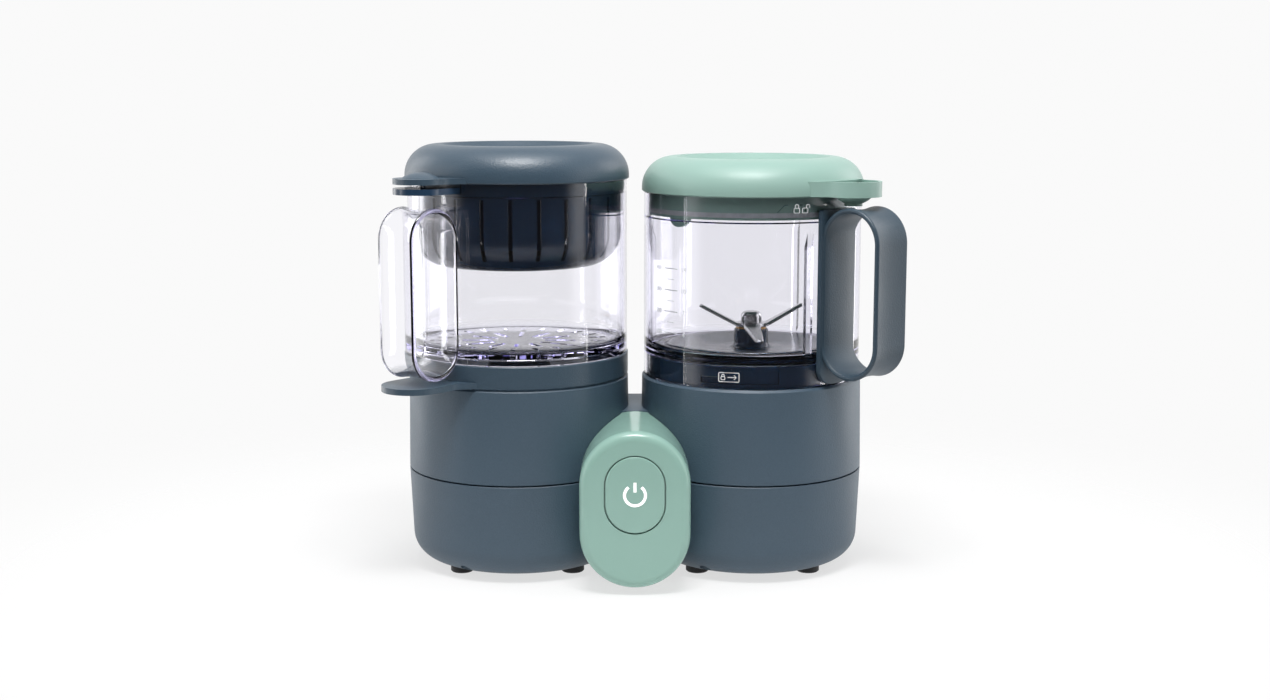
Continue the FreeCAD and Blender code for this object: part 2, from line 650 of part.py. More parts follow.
def control_panel():
    """Hollow front housing: a stadium prism that fits between the towers, with the button's hole."""
    outer = stadium(PANEL_HALF_WIDTH, PANEL_LOW, PANEL_HIGH, PANEL_FRONT, BRIDGE_FRONT)
    front_edges = [e for e in outer.Edges if e.BoundBox.YMax < PANEL_FRONT + SMALLEST]
    towers = both_envelopes(SEAT_GAP, TUB_CORNER)
    towers_and_walls = both_envelopes(SEAT_GAP + PANEL_WALL, TUB_CORNER + PANEL_WALL)
    outer = outer.makeFillet(PANEL_EDGE, front_edges).cut(towers)
    inner = stadium(PANEL_HALF_WIDTH - PANEL_WALL, PANEL_LOW + PANEL_WALL, PANEL_HIGH - PANEL_WALL,
                    PANEL_INSIDE, BRIDGE_FRONT)
    shell = outer.cut(inner.cut(towers_and_walls))
    hole = stadium(BUTTON_HALF_WIDTH + BUTTON_GAP, BUTTON_LOW - BUTTON_GAP, BUTTON_HIGH + BUTTON_GAP,
                   PANEL_FRONT - BUTTON_PROUD, PANEL_INSIDE)
    return shell.cut(hole).fuse(board_posts())


def board_posts():
    """Posts behind the face of the panel that carry the control board."""
    x = BOARD_HALF_WIDTH - BOARD_POST_INSET
    z = BOARD_HEIGHT / 2 - BOARD_POST_INSET
    return [Part.makeCylinder(BOARD_POST_RADIUS, BOARD_BEHIND,
                              Vector(side * x, PANEL_INSIDE, BUTTON_CENTRE + level * z), BACKWARDS)
            for side in (-1, 1) for level in (-1, 1)]


def start_button():
    """Stadium push-button: skin, retaining lip behind the panel's face and a stem towards the switch."""
    face = PANEL_FRONT - BUTTON_PROUD
    shape = stadium(BUTTON_HALF_WIDTH, BUTTON_LOW, BUTTON_HIGH, face, PANEL_INSIDE + BUTTON_LIP)
    front_edges = [e for e in shape.Edges if e.BoundBox.YMax < face + SMALLEST]
    shape = shape.makeFillet(BUTTON_EDGE, front_edges)
    lip = stadium(BUTTON_HALF_WIDTH + BUTTON_RIM, BUTTON_LOW - BUTTON_RIM, BUTTON_HIGH + BUTTON_RIM,
                  PANEL_INSIDE, PANEL_INSIDE + BUTTON_LIP)
    hollow = stadium(BUTTON_HALF_WIDTH - BUTTON_RIM, BUTTON_LOW + BUTTON_RIM, BUTTON_HIGH - BUTTON_RIM,
                     face + BUTTON_SKIN, PANEL_INSIDE + BUTTON_LIP)
    stem_end = SWITCH_TIP - BUTTON_TRAVEL - SEAT_GAP
    stem = Part.makeCylinder(BUTTON_STEM_RADIUS, stem_end - face - BUTTON_SKIN / 2,
                             Vector(0, face + BUTTON_SKIN / 2, BUTTON_CENTRE), BACKWARDS)
    return shape.fuse(lip).cut(hollow).fuse(stem)


def control_board():
    """Circuit board on the panel's posts, with its indicator lamp."""
    board = block(-BOARD_HALF_WIDTH, BOARD_HALF_WIDTH, BOARD_FRONT, BOARD_FRONT + BOARD_THICKNESS,
                  BUTTON_CENTRE - BOARD_HEIGHT / 2, BUTTON_CENTRE + BOARD_HEIGHT / 2)
    lamp = Part.makeCylinder(INDICATOR_RADIUS, INDICATOR_HEIGHT,
                             Vector(0, BOARD_FRONT, BUTTON_CENTRE + INDICATOR_OFFSET), -BACKWARDS)
    return board.fuse(lamp)


def tact_switch():
    body = block(-SWITCH_SIDE / 2, SWITCH_SIDE / 2, BOARD_FRONT - SWITCH_HEIGHT, BOARD_FRONT,
                 BUTTON_CENTRE - SWITCH_SIDE / 2, BUTTON_CENTRE + SWITCH_SIDE / 2)
    plunger = Part.makeCylinder(SWITCH_PLUNGER_RADIUS, SWITCH_PLUNGER_HEIGHT,
                                Vector(0, SWITCH_TIP, BUTTON_CENTRE), BACKWARDS)
    return body.fuse(plunger)


# Boiler

def boiler_pan():
    """Pressed stainless pan with a flange that hangs it in the left deck."""
    outside = PAN_RADIUS + PAN_SHEET
    return lathe([(0, PAN_UNDERSIDE, 0), (outside, PAN_UNDERSIDE, PAN_CORNER),
                  (outside, PAN_FLANGE_LOW, 0), (PAN_FLANGE_RADIUS, PAN_FLANGE_LOW, 0),
                  (PAN_FLANGE_RADIUS, PAN_TOP, 0), (PAN_RADIUS, PAN_TOP, PAN_SHEET),
                  (PAN_RADIUS, PAN_FLOOR, PAN_CORNER - PAN_SHEET), (0, PAN_FLOOR, 0)])


def boiler_seal():
    return ring(PAN_FLANGE_RADIUS, PAN_RADIUS + PAN_SHEET + SEAT_GAP, PAN_SEAT, PAN_FLANGE_LOW)


def heating_element():
    """Diffuser plate under the pan, with an open ring of tube sunk into it and two terminals."""
    plate_low = PAN_UNDERSIDE - HEATER_PLATE
    shape = disc(HEATER_PLATE_RADIUS, plate_low, PAN_UNDERSIDE)
    section = Part.makeCircle(HEATER_TUBE_RADIUS, Vector(HEATER_RING_RADIUS, 0, plate_low), BACKWARDS)
    tube = Part.Face(Part.Wire(section)).revolve(Vector(), UP, HEATER_TUBE_SWEEP)
    shape = shape.fuse(tube.cut(disc(HEATER_PLATE_RADIUS, plate_low, PAN_TOP)))
    low = plate_low - HEATER_TUBE_RADIUS - TERMINAL_LENGTH
    terminal = disc(TERMINAL_RADIUS, low, plate_low, HEATER_RING_RADIUS)
    tube_half_angle = math.degrees(HEATER_TUBE_RADIUS / HEATER_RING_RADIUS)
    ends = (tube_half_angle, HEATER_TUBE_SWEEP - tube_half_angle)
    return shape.fuse([turned(terminal, angle) for angle in ends])


def thermostat():
    """Round cut-out under the heater plate, with two blade terminals."""
    top = PAN_UNDERSIDE - HEATER_PLATE
    low = top - THERMOSTAT_HEIGHT
    shape = disc(THERMOSTAT_RADIUS, low, top)
    tab = block(THERMOSTAT_RADIUS / 2, THERMOSTAT_RADIUS / 2 + THERMOSTAT_TAB,
                -THERMOSTAT_TAB_WIDTH / 2, THERMOSTAT_TAB_WIDTH / 2, low - THERMOSTAT_TAB_LENGTH, low)
    return shape.fuse(around(tab, 2))


def power_board():
    """Supply board on four posts in the left tub, with a relay and a capacitor."""
    low = TUB_FLOOR + POWER_BOARD_LIFT
    top = low + BOARD_THICKNESS
    half_length = POWER_BOARD_LENGTH / 2
    half_width = POWER_BOARD_WIDTH / 2
    shape = block(-half_length, half_length, -half_width, half_width, low, top)
    length, width, height = RELAY_SIZE
    shape = shape.fuse(block(-length, 0, -width / 2, width / 2, top, top + height))
    shape = shape.fuse(disc(CAPACITOR_RADIUS, top, top + CAPACITOR_HEIGHT, half_length / 2))
    for x in (-half_length + BOARD_POST_INSET, half_length - BOARD_POST_INSET):
        for y in (-half_width + BOARD_POST_INSET, half_width - BOARD_POST_INSET):
            shape = shape.fuse(disc(BOARD_POST_RADIUS, TUB_FLOOR, low, x, y))
    return shape


# Motor

def motor_can():
    """Drawn steel casing, open at the top, with a bush seat in its floor."""
    bore = BUSH_RADIUS
    inside = MOTOR_RADIUS - MOTOR_SHEET
    return lathe([(bore, MOTOR_BOTTOM, 0), (MOTOR_RADIUS, MOTOR_BOTTOM, MOTOR_CORNER),
                  (MOTOR_RADIUS, MOTOR_TOP, 0), (inside, MOTOR_TOP, 0),
                  (inside, MOTOR_BOTTOM + MOTOR_SHEET, MOTOR_CORNER - MOTOR_SHEET),
                  (bore, MOTOR_BOTTOM + MOTOR_SHEET, 0)])


def field_magnets():
    """Two arc magnets bonded inside the can."""
    outer = MOTOR_RADIUS - MOTOR_SHEET
    low = MOTOR_BOTTOM + MOTOR_SHEET + MAGNET_END_GAP
    magnet = sector(outer - MAGNET_THICKNESS, outer, low, MOTOR_TOP - 2 * MAGNET_END_GAP,
                    -MAGNET_ANGLE / 2, MAGNET_ANGLE)
    return around(magnet, 2)


def motor_bracket():
    """Plate between the can and the underside of the well."""
    shape = ring(BRACKET_RADIUS, BUSH_RADIUS, MOTOR_TOP, WELL_UNDERSIDE)
    hole = disc(SCREW_RADIUS, MOTOR_TOP, WELL_UNDERSIDE, BRACKET_SCREW_CIRCLE)
    return shape.cut(around(hole, BRACKET_SCREWS))


def motor_screws():
    """Short screws from below through the bracket, up against the well."""
    one = screw(SCREW_HEAD_RADIUS, SCREW_HEAD_HEIGHT, SCREW_RADIUS - RUNNING_GAP, BRACKET_PLATE)
    return around(moved(one, BRACKET_SCREW_CIRCLE, 0, MOTOR_TOP), BRACKET_SCREWS)


def motor_bushes():
    """Flanged bushes of the motor shaft: one in the well's floor, one in the floor of the can."""
    bore = MOTOR_SHAFT_RADIUS + RUNNING_GAP
    top = lathe([(bore, MOTOR_TOP, 0), (BUSH_RADIUS, MOTOR_TOP, 0), (BUSH_RADIUS, WELL_FLOOR, 0),
                 (BUSH_FLANGE_RADIUS, WELL_FLOOR, 0), (BUSH_FLANGE_RADIUS, WELL_FLOOR + BUSH_FLANGE, 0),
                 (bore, WELL_FLOOR + BUSH_FLANGE, 0)])
    seat = MOTOR_BOTTOM + MOTOR_SHEET
    bottom = lathe([(bore, MOTOR_BOTTOM, 0), (BUSH_RADIUS, MOTOR_BOTTOM, 0), (BUSH_RADIUS, seat, 0),
                    (BUSH_FLANGE_RADIUS, seat, 0), (BUSH_FLANGE_RADIUS, seat + BUSH_FLANGE, 0),
                    (bore, seat + BUSH_FLANGE, 0)])
    return [top, bottom]


def motor_shaft():
    """Shaft from the lower bush up into the drive coupling, with a collar under the armature."""
    collar_low = MOTOR_BOTTOM + MOTOR_SHEET + BUSH_FLANGE + SEAT_GAP
    armature_low = MOTOR_BOTTOM + MOTOR_SHEET + MAGNET_END_GAP
    shaft = disc(MOTOR_SHAFT_RADIUS, MOTOR_BOTTOM, DRIVE_TOP - COUPLING_ROOF)
    return shaft.fuse(disc(BUSH_RADIUS, collar_low, armature_low))


def armature():
    """Slotted core on the shaft."""
    low = MOTOR_BOTTOM + MOTOR_SHEET + MAGNET_END_GAP
    top = MOTOR_TOP - 2 * MAGNET_END_GAP
    shape = ring(ARMATURE_RADIUS, MOTOR_SHAFT_RADIUS, low, top)
    slot = block(ARMATURE_RADIUS - ARMATURE_SLOT_DEPTH, ARMATURE_RADIUS + SEAT_GAP,
                 -ARMATURE_SLOT_WIDTH / 2, ARMATURE_SLOT_WIDTH / 2, low, top)
    return shape.cut(around(slot, ARMATURE_SLOTS))


def commutator():
    low = MOTOR_TOP - 2 * MAGNET_END_GAP
    return ring(COMMUTATOR_RADIUS, MOTOR_SHAFT_RADIUS, low, low + COMMUTATOR_LENGTH)


# Couplings

def lobed(extra, low, high):
    """Six-lobed prism, grown by extra."""
    core = disc(COUPLING_CORE + extra, low, high)
    lobe = disc(LOBE_RADIUS + extra, low, high, LOBE_CIRCLE)
    return core.fuse(around(lobe, LOBES)).removeSplitter()


def drive_coupling():
    """Lobed head on the motor shaft, with a blind bore that rests on the shaft's end."""
    bore = disc(MOTOR_SHAFT_RADIUS, DRIVE_LOW, DRIVE_TOP - COUPLING_ROOF)
    return lobed(0, DRIVE_LOW, DRIVE_TOP).cut(bore)


def driven_coupling():
    """Lobed socket under the blade unit; its roof carries the spindle."""
    outer = disc(LOBE_CIRCLE + LOBE_RADIUS + COUPLING_WALL, DRIVE_LOW, DRIVEN_TOP)
    socket = lobed(COUPLING_GAP, DRIVE_LOW, DRIVEN_SOCKET_TOP)
    return outer.cut(socket)


# Steamer

def drip_tray():
    """Trough round a steam chimney, with a spigot that finds the pan and a tongue tab."""
    floor = DECK_HEIGHT + TRAY_FLOOR
    chimney_top = TRAY_TOP - CHIMNEY_DROP
    chimney_outer = CHIMNEY_RADIUS + TRAY_WALL
    spigot = PAN_RADIUS - SLIP_GAP
    spigot_low = DECK_HEIGHT - TRAY_SPIGOT
    shape = lathe([(TRAY_RADIUS, DECK_HEIGHT, SOFT_EDGE), (TRAY_RADIUS, TRAY_TOP, SMALL_EDGE),
                   (TRAY_RADIUS - TRAY_WALL, TRAY_TOP, FINE_EDGE),
                   (TRAY_RADIUS - TRAY_WALL, floor, FLOOR_BLEND),
                   (chimney_outer, floor, FLOOR_BLEND), (chimney_outer, chimney_top, SMALL_EDGE),
                   (CHIMNEY_RADIUS, chimney_top, SMALL_EDGE), (CHIMNEY_RADIUS, DECK_HEIGHT, 0),
                   (spigot - TRAY_WALL, DECK_HEIGHT, 0), (spigot - TRAY_WALL, spigot_low, SMALL_EDGE),
                   (spigot, spigot_low, SOFT_EDGE), (spigot, DECK_HEIGHT, 0)])
    low = DECK_HEIGHT + TRAY_TAB_LIFT
    tab = tongue(TRAY_RADIUS, TRAY_TAB_REACH, TRAY_TAB_HALF_WIDTH, low, low + TRAY_TAB_THICKNESS)
    tab = turned(tab.cut(disc(TRAY_RADIUS - TRAY_WALL / 2, low, TRAY_TOP)), BOWL_HANDLE_ANGLE)
    return shape.fuse(tab)


def loop_handle(root, reach, width, band, low, high):
    """Loop of a saddle-shaped band along +X; its inner run hugs a cylinder of radius root."""
    saddle = root - math.sqrt(root ** 2 - (width / 2) ** 2)
    spine = (reach - root - saddle) / 2
    centre = root + spine
    bottom = low + spine + saddle
    top = high - spine - saddle

    def section(side):
        """Cross-section of the band on one side of the loop, with round lips."""
        def at(outward, across):
            return Vector(centre + side * (spine + outward), across, bottom)
        lip = saddle - band / 2
        edge = width / 2
        outer = Part.Arc(at(saddle, -edge), at(0, 0), at(saddle, edge))
        far_lip = Part.Arc(at(saddle, edge), at(lip, edge + band / 2), at(saddle - band, edge))
        inner = Part.Arc(at(saddle - band, edge), at(-band, 0), at(saddle - band, -edge))
        near_lip = Part.Arc(at(saddle - band, -edge), at(lip, -edge - band / 2), at(saddle, -edge))
        return Part.Face(Part.Wire([c.toShape() for c in (outer, far_lip, inner, near_lip)]))

    outer_run = section(1).extrude(UP * (top - bottom))
    inner_run = section(-1).extrude(UP * (top - bottom))
    lower_bend = section(1).revolve(Vector(centre, 0, bottom), BACKWARDS, 180)
    upper_bend = moved(section(1), 0, 0, top - bottom).revolve(Vector(centre, 0, top), -BACKWARDS, 180)
    return outer_run.fuse([inner_run, lower_bend, upper_bend]).removeSplitter()


def steam_bowl():
    """Clear bowl with a slotted floor, a ledge for the basket and a notch for its tab."""
    foot_outer = TRAY_RADIUS - TRAY_WALL - BASKET_SIDE_GAP
    foot_inner = foot_outer - BOWL_FOOT_WALL
    foot_low = TRAY_TOP - BOWL_FOOT
    rim_inner = BOWL_RADIUS - BOWL_RIM_WALL
    shape = lathe([(BOWL_RADIUS, TRAY_TOP, SMALL_EDGE), (BOWL_RADIUS, BOWL_RIM, FINE_EDGE),
                   (rim_inner, BOWL_RIM, FINE_EDGE), (rim_inner, BASKET_LEDGE, 0),
                   (BOWL_INNER, BASKET_LEDGE, FINE_EDGE), (BOWL_INNER, BOWL_FLOOR_TOP, VESSEL_BLEND),
                   (0, BOWL_FLOOR_TOP, 0), (0, BOWL_FLOOR_LOW, 0),
                   (foot_inner, BOWL_FLOOR_LOW, SOFT_EDGE), (foot_inner, foot_low, SMALL_EDGE),
                   (foot_outer, foot_low, SMALL_EDGE), (foot_outer, TRAY_TOP, 0)])
    slot = block(BOWL_SLOT_INNER, BOWL_SLOT_OUTER, -BOWL_SLOT_WIDTH / 2, BOWL_SLOT_WIDTH / 2,
                 BOWL_FLOOR_LOW, BOWL_FLOOR_TOP)
    inner_slot = block(FLOOR_SLOT_INNER, FLOOR_SLOT_OUTER, -BOWL_SLOT_WIDTH / 2, BOWL_SLOT_WIDTH / 2,
                       BOWL_FLOOR_LOW, BOWL_FLOOR_TOP)
    shape = shape.cut(around(slot, BOWL_SLOTS) + around(inner_slot, BOWL_SLOTS // 2))
    notch_half = math.degrees(math.asin((TAB_HALF_WIDTH + SLIP_GAP) / BOWL_INNER))
    notch = sector(BOWL_INNER / 2, BOWL_RADIUS + SLIP_GAP,
                   BOWL_RIM - BASKET_TAB_DROP - BASKET_TAB_THICKNESS - SLIP_GAP, BOWL_RIM + SLIP_GAP,
                   -notch_half, 2 * notch_half)
    return shape.cut(turned(notch, BOWL_HANDLE_ANGLE))


def bowl_handle():
    """Clear loop handle, bonded to the bowl along its inner run."""
    loop = loop_handle(BOWL_RADIUS - HANDLE_SINK, BOWL_HANDLE_REACH, HANDLE_WIDTH, HANDLE_BAND,
                       HANDLE_LOW, BOWL_HANDLE_HIGH)
    return turned(loop.cut(disc(BOWL_RADIUS, 0, BOWL_RIM)), BOWL_HANDLE_ANGLE)


def steam_basket():
    """Slotted basket that hangs by its collar on the bowl's ledge, with a tab through the rim's notch."""
    inner = BASKET_RADIUS - BASKET_WALL
    shape = lathe([(0, BASKET_BOTTOM, 0), (BASKET_RADIUS, BASKET_BOTTOM, BASKET_CORNER),
                   (BASKET_RADIUS, BASKET_LEDGE, 0), (BASKET_COLLAR, BASKET_LEDGE, 0),
                   (BASKET_COLLAR, BASKET_TOP, FINE_EDGE), (BASKET_COLLAR_INNER, BASKET_TOP, FINE_EDGE),
                   (BASKET_COLLAR_INNER, BASKET_LEDGE + BASKET_WALL, 0), (inner, BASKET_LEDGE, 0),
                   (inner, BASKET_BOTTOM + BASKET_WALL, BASKET_CORNER - BASKET_WALL),
                   (0, BASKET_BOTTOM + BASKET_WALL, 0)])
    half = BASKET_SLOT_WIDTH / 2
    side_slot = block(FLOOR_SLOT_OUTER, BOWL_RADIUS, -half, half,
                      BOWL_RIM - BASKET_SLOT_BOTTOM, BOWL_RIM - BASKET_SLOT_TOP)
    floor_slot = block(FLOOR_SLOT_INNER, FLOOR_SLOT_OUTER, -half, half,
                       BASKET_BOTTOM, BASKET_BOTTOM + BASKET_WALL)
    shape = shape.cut(around(side_slot, BASKET_SLOTS) + around(floor_slot, BASKET_FLOOR_SLOTS))
    top = BOWL_RIM - BASKET_TAB_DROP
    tab = tongue(BASKET_COLLAR, TAB_REACH, TAB_HALF_WIDTH, top - BASKET_TAB_THICKNESS, top)
    lane = block(0, 2 * TAB_REACH, -TAB_HALF_WIDTH, TAB_HALF_WIDTH, top - BASKET_TAB_THICKNESS, top)
    tab = tab.common(lane).cut(disc(BASKET_COLLAR - BASKET_WALL / 2, 0, BOWL_RIM))
    return shape.fuse(turned(tab, BOWL_HANDLE_ANGLE))


# Lids

def lid_shell(radius, low, skirt_radius, skirt_depth):
    """Domed lid with a dished top and a skirt that plugs into the vessel below; low is its rest face."""
    top = low + LID_HEIGHT
    dish = top - DISH_DEPTH
    dish_inner = DISH_RADIUS - DISH_SLOPE
    outer = lathe([(0, low, 0), (radius, low, SMALL_EDGE), (radius, top, LID_SHOULDER),
                   (DISH_RADIUS, top, SOFT_EDGE), (dish_inner, dish, DISH_CORNER), (0, dish, 0)])
    inside = radius - LID_SHEET
    crest = inside - LID_SHOULDER + LID_SHEET
    hollow = lathe([(0, low, 0), (inside, low, 0), (inside, top - LID_SHEET, LID_SHOULDER - LID_SHEET),
                    (crest, top - LID_SHEET, 0), (dish_inner, dish - LID_SHEET, INNER_BEND),
                    (0, dish - LID_SHEET, 0)])
    plug = ring(skirt_radius, skirt_radius - LID_SKIRT_WALL, low - skirt_depth, low)
    flange = ring(radius - LID_SHEET / 2, skirt_radius - LID_SKIRT_WALL, low, low + LID_SHEET)
    shape = outer.cut(hollow).fuse([plug, flange])
    return shape.cut(lid_seal(skirt_radius, low, skirt_depth))


def lid_seal(skirt_radius, low, skirt_depth):
    """Ring seal in a groove of the lid's skirt, a little proud of it."""
    seal_low = low - skirt_depth + LID_SEAL_LIFT
    return ring(skirt_radius + LID_SEAL_PROUD, skirt_radius + LID_SEAL_PROUD - LID_SEAL_DEPTH,
                seal_low, seal_low + LID_SEAL_HEIGHT)


STEAMER_LID_RADIUS = BOWL_RADIUS + LID_OVERHANG
STEAMER_SKIRT_RADIUS = BASKET_COLLAR_INNER - SLIP_GAP
BLENDER_LID_RADIUS = JAR_RADIUS + LID_OVERHANG
BLENDER_SKIRT_RADIUS = JAR_RIM_INNER - SLIP_GAP


def steamer_lid():
    """Lid of the steamer, with a thin tab and a thumb dome."""
    shape = lid_shell(STEAMER_LID_RADIUS, BOWL_RIM, STEAMER_SKIRT_RADIUS, STEAMER_SKIRT)
    tab = tongue(STEAMER_LID_RADIUS, TAB_REACH, TAB_HALF_WIDTH, BOWL_RIM, BOWL_RIM + TAB_THICKNESS)
    tab = tab.cut(disc(STEAMER_LID_RADIUS - LID_SHEET / 2, BOWL_RIM, BOWL_RIM + LID_HEIGHT))
    dome = moved(cap(THUMB_RADIUS, THUMB_RISE), TAB_REACH - TAB_HALF_WIDTH, 0, BOWL_RIM + TAB_THICKNESS)
    return shape.fuse(turned(tab.fuse(dome), BOWL_HANDLE_ANGLE))


def blender_lid():
    """Lid of the blender, with a cup-shaped tab over the handle and a tongue below its skirt."""
    shape = lid_shell(BLENDER_LID_RADIUS, JAR_RIM, BLENDER_SKIRT_RADIUS, BLENDER_SKIRT)
    top = JAR_RIM + CUP_HEIGHT
    keep_out = disc(BLENDER_LID_RADIUS - LID_SHEET / 2, 0, 2 * JAR_RIM)
    tab = tongue(BLENDER_LID_RADIUS, CUP_REACH, CUP_HALF_WIDTH, JAR_RIM, top).cut(keep_out)
    pocket = tongue(BLENDER_LID_RADIUS + CUP_WALL, CUP_REACH - CUP_WALL, CUP_HALF_WIDTH - CUP_WALL,
                    JAR_RIM + CUP_FLOOR, top)
    pocket = pocket.cut(disc(BLENDER_LID_RADIUS + CUP_WALL, 0, 2 * JAR_RIM))
    centre = CUP_REACH - CUP_HALF_WIDTH
    boss = cap(BOSS_RADIUS, BOSS_DROP).mirror(Vector(), UP)
    stem = disc(STEM_RADIUS, JAR_HANDLE_HIGH + SEAT_GAP, JAR_RIM, centre)
    tab = tab.cut(pocket).fuse([moved(boss, centre, 0, JAR_RIM), stem])
    return shape.fuse([turned(tab, JAR_HANDLE_ANGLE), skirt_tongue()])


def skirt_tongue():
    """Half-moon tongue below the skirt of the blender lid."""
    outer = JAR_INNER - SLIP_GAP
    low = JAR_RIM - BLENDER_SKIRT
    wall = ring(outer, outer - LID_SKIRT_WALL, low - TONGUE_DROP, low + LID_SEAL_LIFT)
    radius = (TONGUE_HALF_WIDTH ** 2 + TONGUE_DROP ** 2) / (2 * TONGUE_DROP)
    moon = Part.makeCylinder(radius, outer, Vector(0, 0, low - TONGUE_DROP + radius), SIDEWAYS)
    below = block(0, outer, -TONGUE_HALF_WIDTH, TONGUE_HALF_WIDTH, low - TONGUE_DROP, low + LID_SEAL_LIFT)
    return turned(wall.common(moon).common(below), TONGUE_ANGLE)


# Blender

def blade_base():
    """Bayonet collar that closes the jar: lug grooves outside, notches for the dogs, hub for the bush."""
    bush = BLADE_SHAFT_RADIUS + BLADE_BUSH_WALL
    dish = PLUG_TOP - PLUG_DISH
    shape = lathe([(COLLAR_BORE, WELL_FLOOR, FINE_EDGE), (COLLAR_SKIRT_RADIUS, WELL_FLOOR, SMALL_EDGE),
                   (COLLAR_SKIRT_RADIUS, COLLAR_LOW, 0), (COLLAR_RADIUS, COLLAR_LOW, SMALL_EDGE),
                   (COLLAR_RADIUS, COLLAR_TOP, SMALL_EDGE), (PLUG_RADIUS, COLLAR_TOP, 0),
                   (PLUG_RADIUS, PLUG_TOP, SOFT_EDGE), (PLUG_RADIUS - PLUG_RIM, PLUG_TOP, FLOOR_BLEND),
                   (2 * HUB_RADIUS, dish, DISH_BLEND), (HUB_RADIUS, dish, FLOOR_BLEND),
                   (HUB_RADIUS, HUB_TOP, SOFT_EDGE), (bush, HUB_TOP, 0), (bush, COLLAR_CEILING, 0),
                   (COLLAR_BORE, COLLAR_CEILING, FLOOR_BLEND)])
    groove_inner = JAR_RIM_INNER - LUG_PROUD - SEAT_GAP
    slack = math.degrees(SEAT_GAP / groove_inner)
    start = -LUG_ANGLE / 2 - slack
    lane = sector(groove_inner, JAR_RADIUS, LUG_LOW - SEAT_GAP, LUG_LOW + LUG_HEIGHT + SEAT_GAP,
                  start, LUG_ANGLE + TWIST_ANGLE + 2 * slack)
    entry = sector(groove_inner, JAR_RADIUS, LUG_LOW - SEAT_GAP, COLLAR_TOP,
                   start + TWIST_ANGLE, LUG_ANGLE + 2 * slack)
    grooves = around(lane.fuse(entry), LUG_COUNT, LUG_FIRST)
    half = DOG_WIDTH / 2 + SLIP_GAP
    notch = block(WELL_RADIUS - DOG_DEPTH - SLIP_GAP, WELL_RADIUS + SLIP_GAP, -half, half,
                  WELL_FLOOR, WELL_FLOOR + DOG_HEIGHT + SLIP_GAP)
    return shape.cut(grooves + around(notch, DOG_COUNT, LUG_FIRST))


def blade_base_seal():
    inner = PLUG_RADIUS + SEAT_GAP
    return ring(inner + FLAT_SEAL_WIDTH, inner, COLLAR_TOP, COLLAR_TOP + FLAT_SEAL)


def blade_bush():
    """Flanged bush through the hub of the collar."""
    bore = BLADE_SHAFT_RADIUS + RUNNING_GAP
    outside = BLADE_SHAFT_RADIUS + BLADE_BUSH_WALL
    flange = HUB_RADIUS - BLADE_BUSH_INSET
    return lathe([(bore, COLLAR_CEILING, 0), (outside, COLLAR_CEILING, 0), (outside, HUB_TOP, 0),
                  (flange, HUB_TOP, 0), (flange, HUB_TOP + BUSH_FLANGE, FINE_EDGE),
                  (bore, HUB_TOP + BUSH_FLANGE, 0)])


def blade_shaft():
    """Spindle from the coupling's roof to the nut, stepped where the blade sits."""
    spindle = disc(BLADE_SHAFT_RADIUS, DRIVEN_TOP, BLADE_HEIGHT)
    return spindle.fuse(disc(BLADE_TIP_RADIUS, BLADE_HEIGHT, BLADE_HEIGHT + BLADE_SHEET + NUT_HEIGHT / 2))


def blade_cross():
    """Four-winged sheet blade: two wings bent up and two bent down, each with a ground edge."""
    shape = disc(BLADE_BOSS_RADIUS, 0, BLADE_SHEET)
    root = BLADE_BOSS_RADIUS - BLADE_SHEET
    half = BLADE_WIDTH / 2
    corners = [(root, -half, 0), (BLADE_BOSS_RADIUS + BLADE_SHEET, -half, INNER_BEND),
               (BLADE_REACH, half - BLADE_TIP_WIDTH, BLADE_CORNER), (BLADE_REACH, half, BLADE_CORNER),
               (root, half, 0)]
    for i in range(BLADE_WINGS):
        wing = plate(corners, 0, BLADE_SHEET)
        edges = [e for e in wing.Edges if e.Length > BLADE_REACH / 2 and e.BoundBox.ZMin > BLADE_SHEET / 2
                 and e.BoundBox.YLength > SMALLEST]
        wing = wing.makeChamfer(BLADE_EDGE, edges)
        tilt = BLADE_UP_TILT if i % 2 == 0 else BLADE_DOWN_TILT
        wing.rotate(Vector(BLADE_BOSS_RADIUS, 0, BLADE_SHEET / 2), -BACKWARDS, tilt)
        shape = shape.fuse(turned(wing, 360.0 * i / BLADE_WINGS))
    shape = shape.cut(disc(BLADE_BOSS_RADIUS, -BLADE_WIDTH, 0))
    shape = shape.cut(disc(BLADE_TIP_RADIUS, -BLADE_WIDTH, BLADE_WIDTH))
    return moved(shape, 0, 0, BLADE_HEIGHT)


def blade_nut():
    """Domed cap nut that clamps the blade on the spindle's step."""
    low = BLADE_HEIGHT + BLADE_SHEET
    shape = lathe([(0, low, 0), (NUT_RADIUS, low, 0), (NUT_RADIUS, low + NUT_HEIGHT, NUT_RADIUS / 2),
                   (0, low + NUT_HEIGHT, 0)])
    return shape.cut(disc(BLADE_TIP_RADIUS, low, low + NUT_HEIGHT / 2))


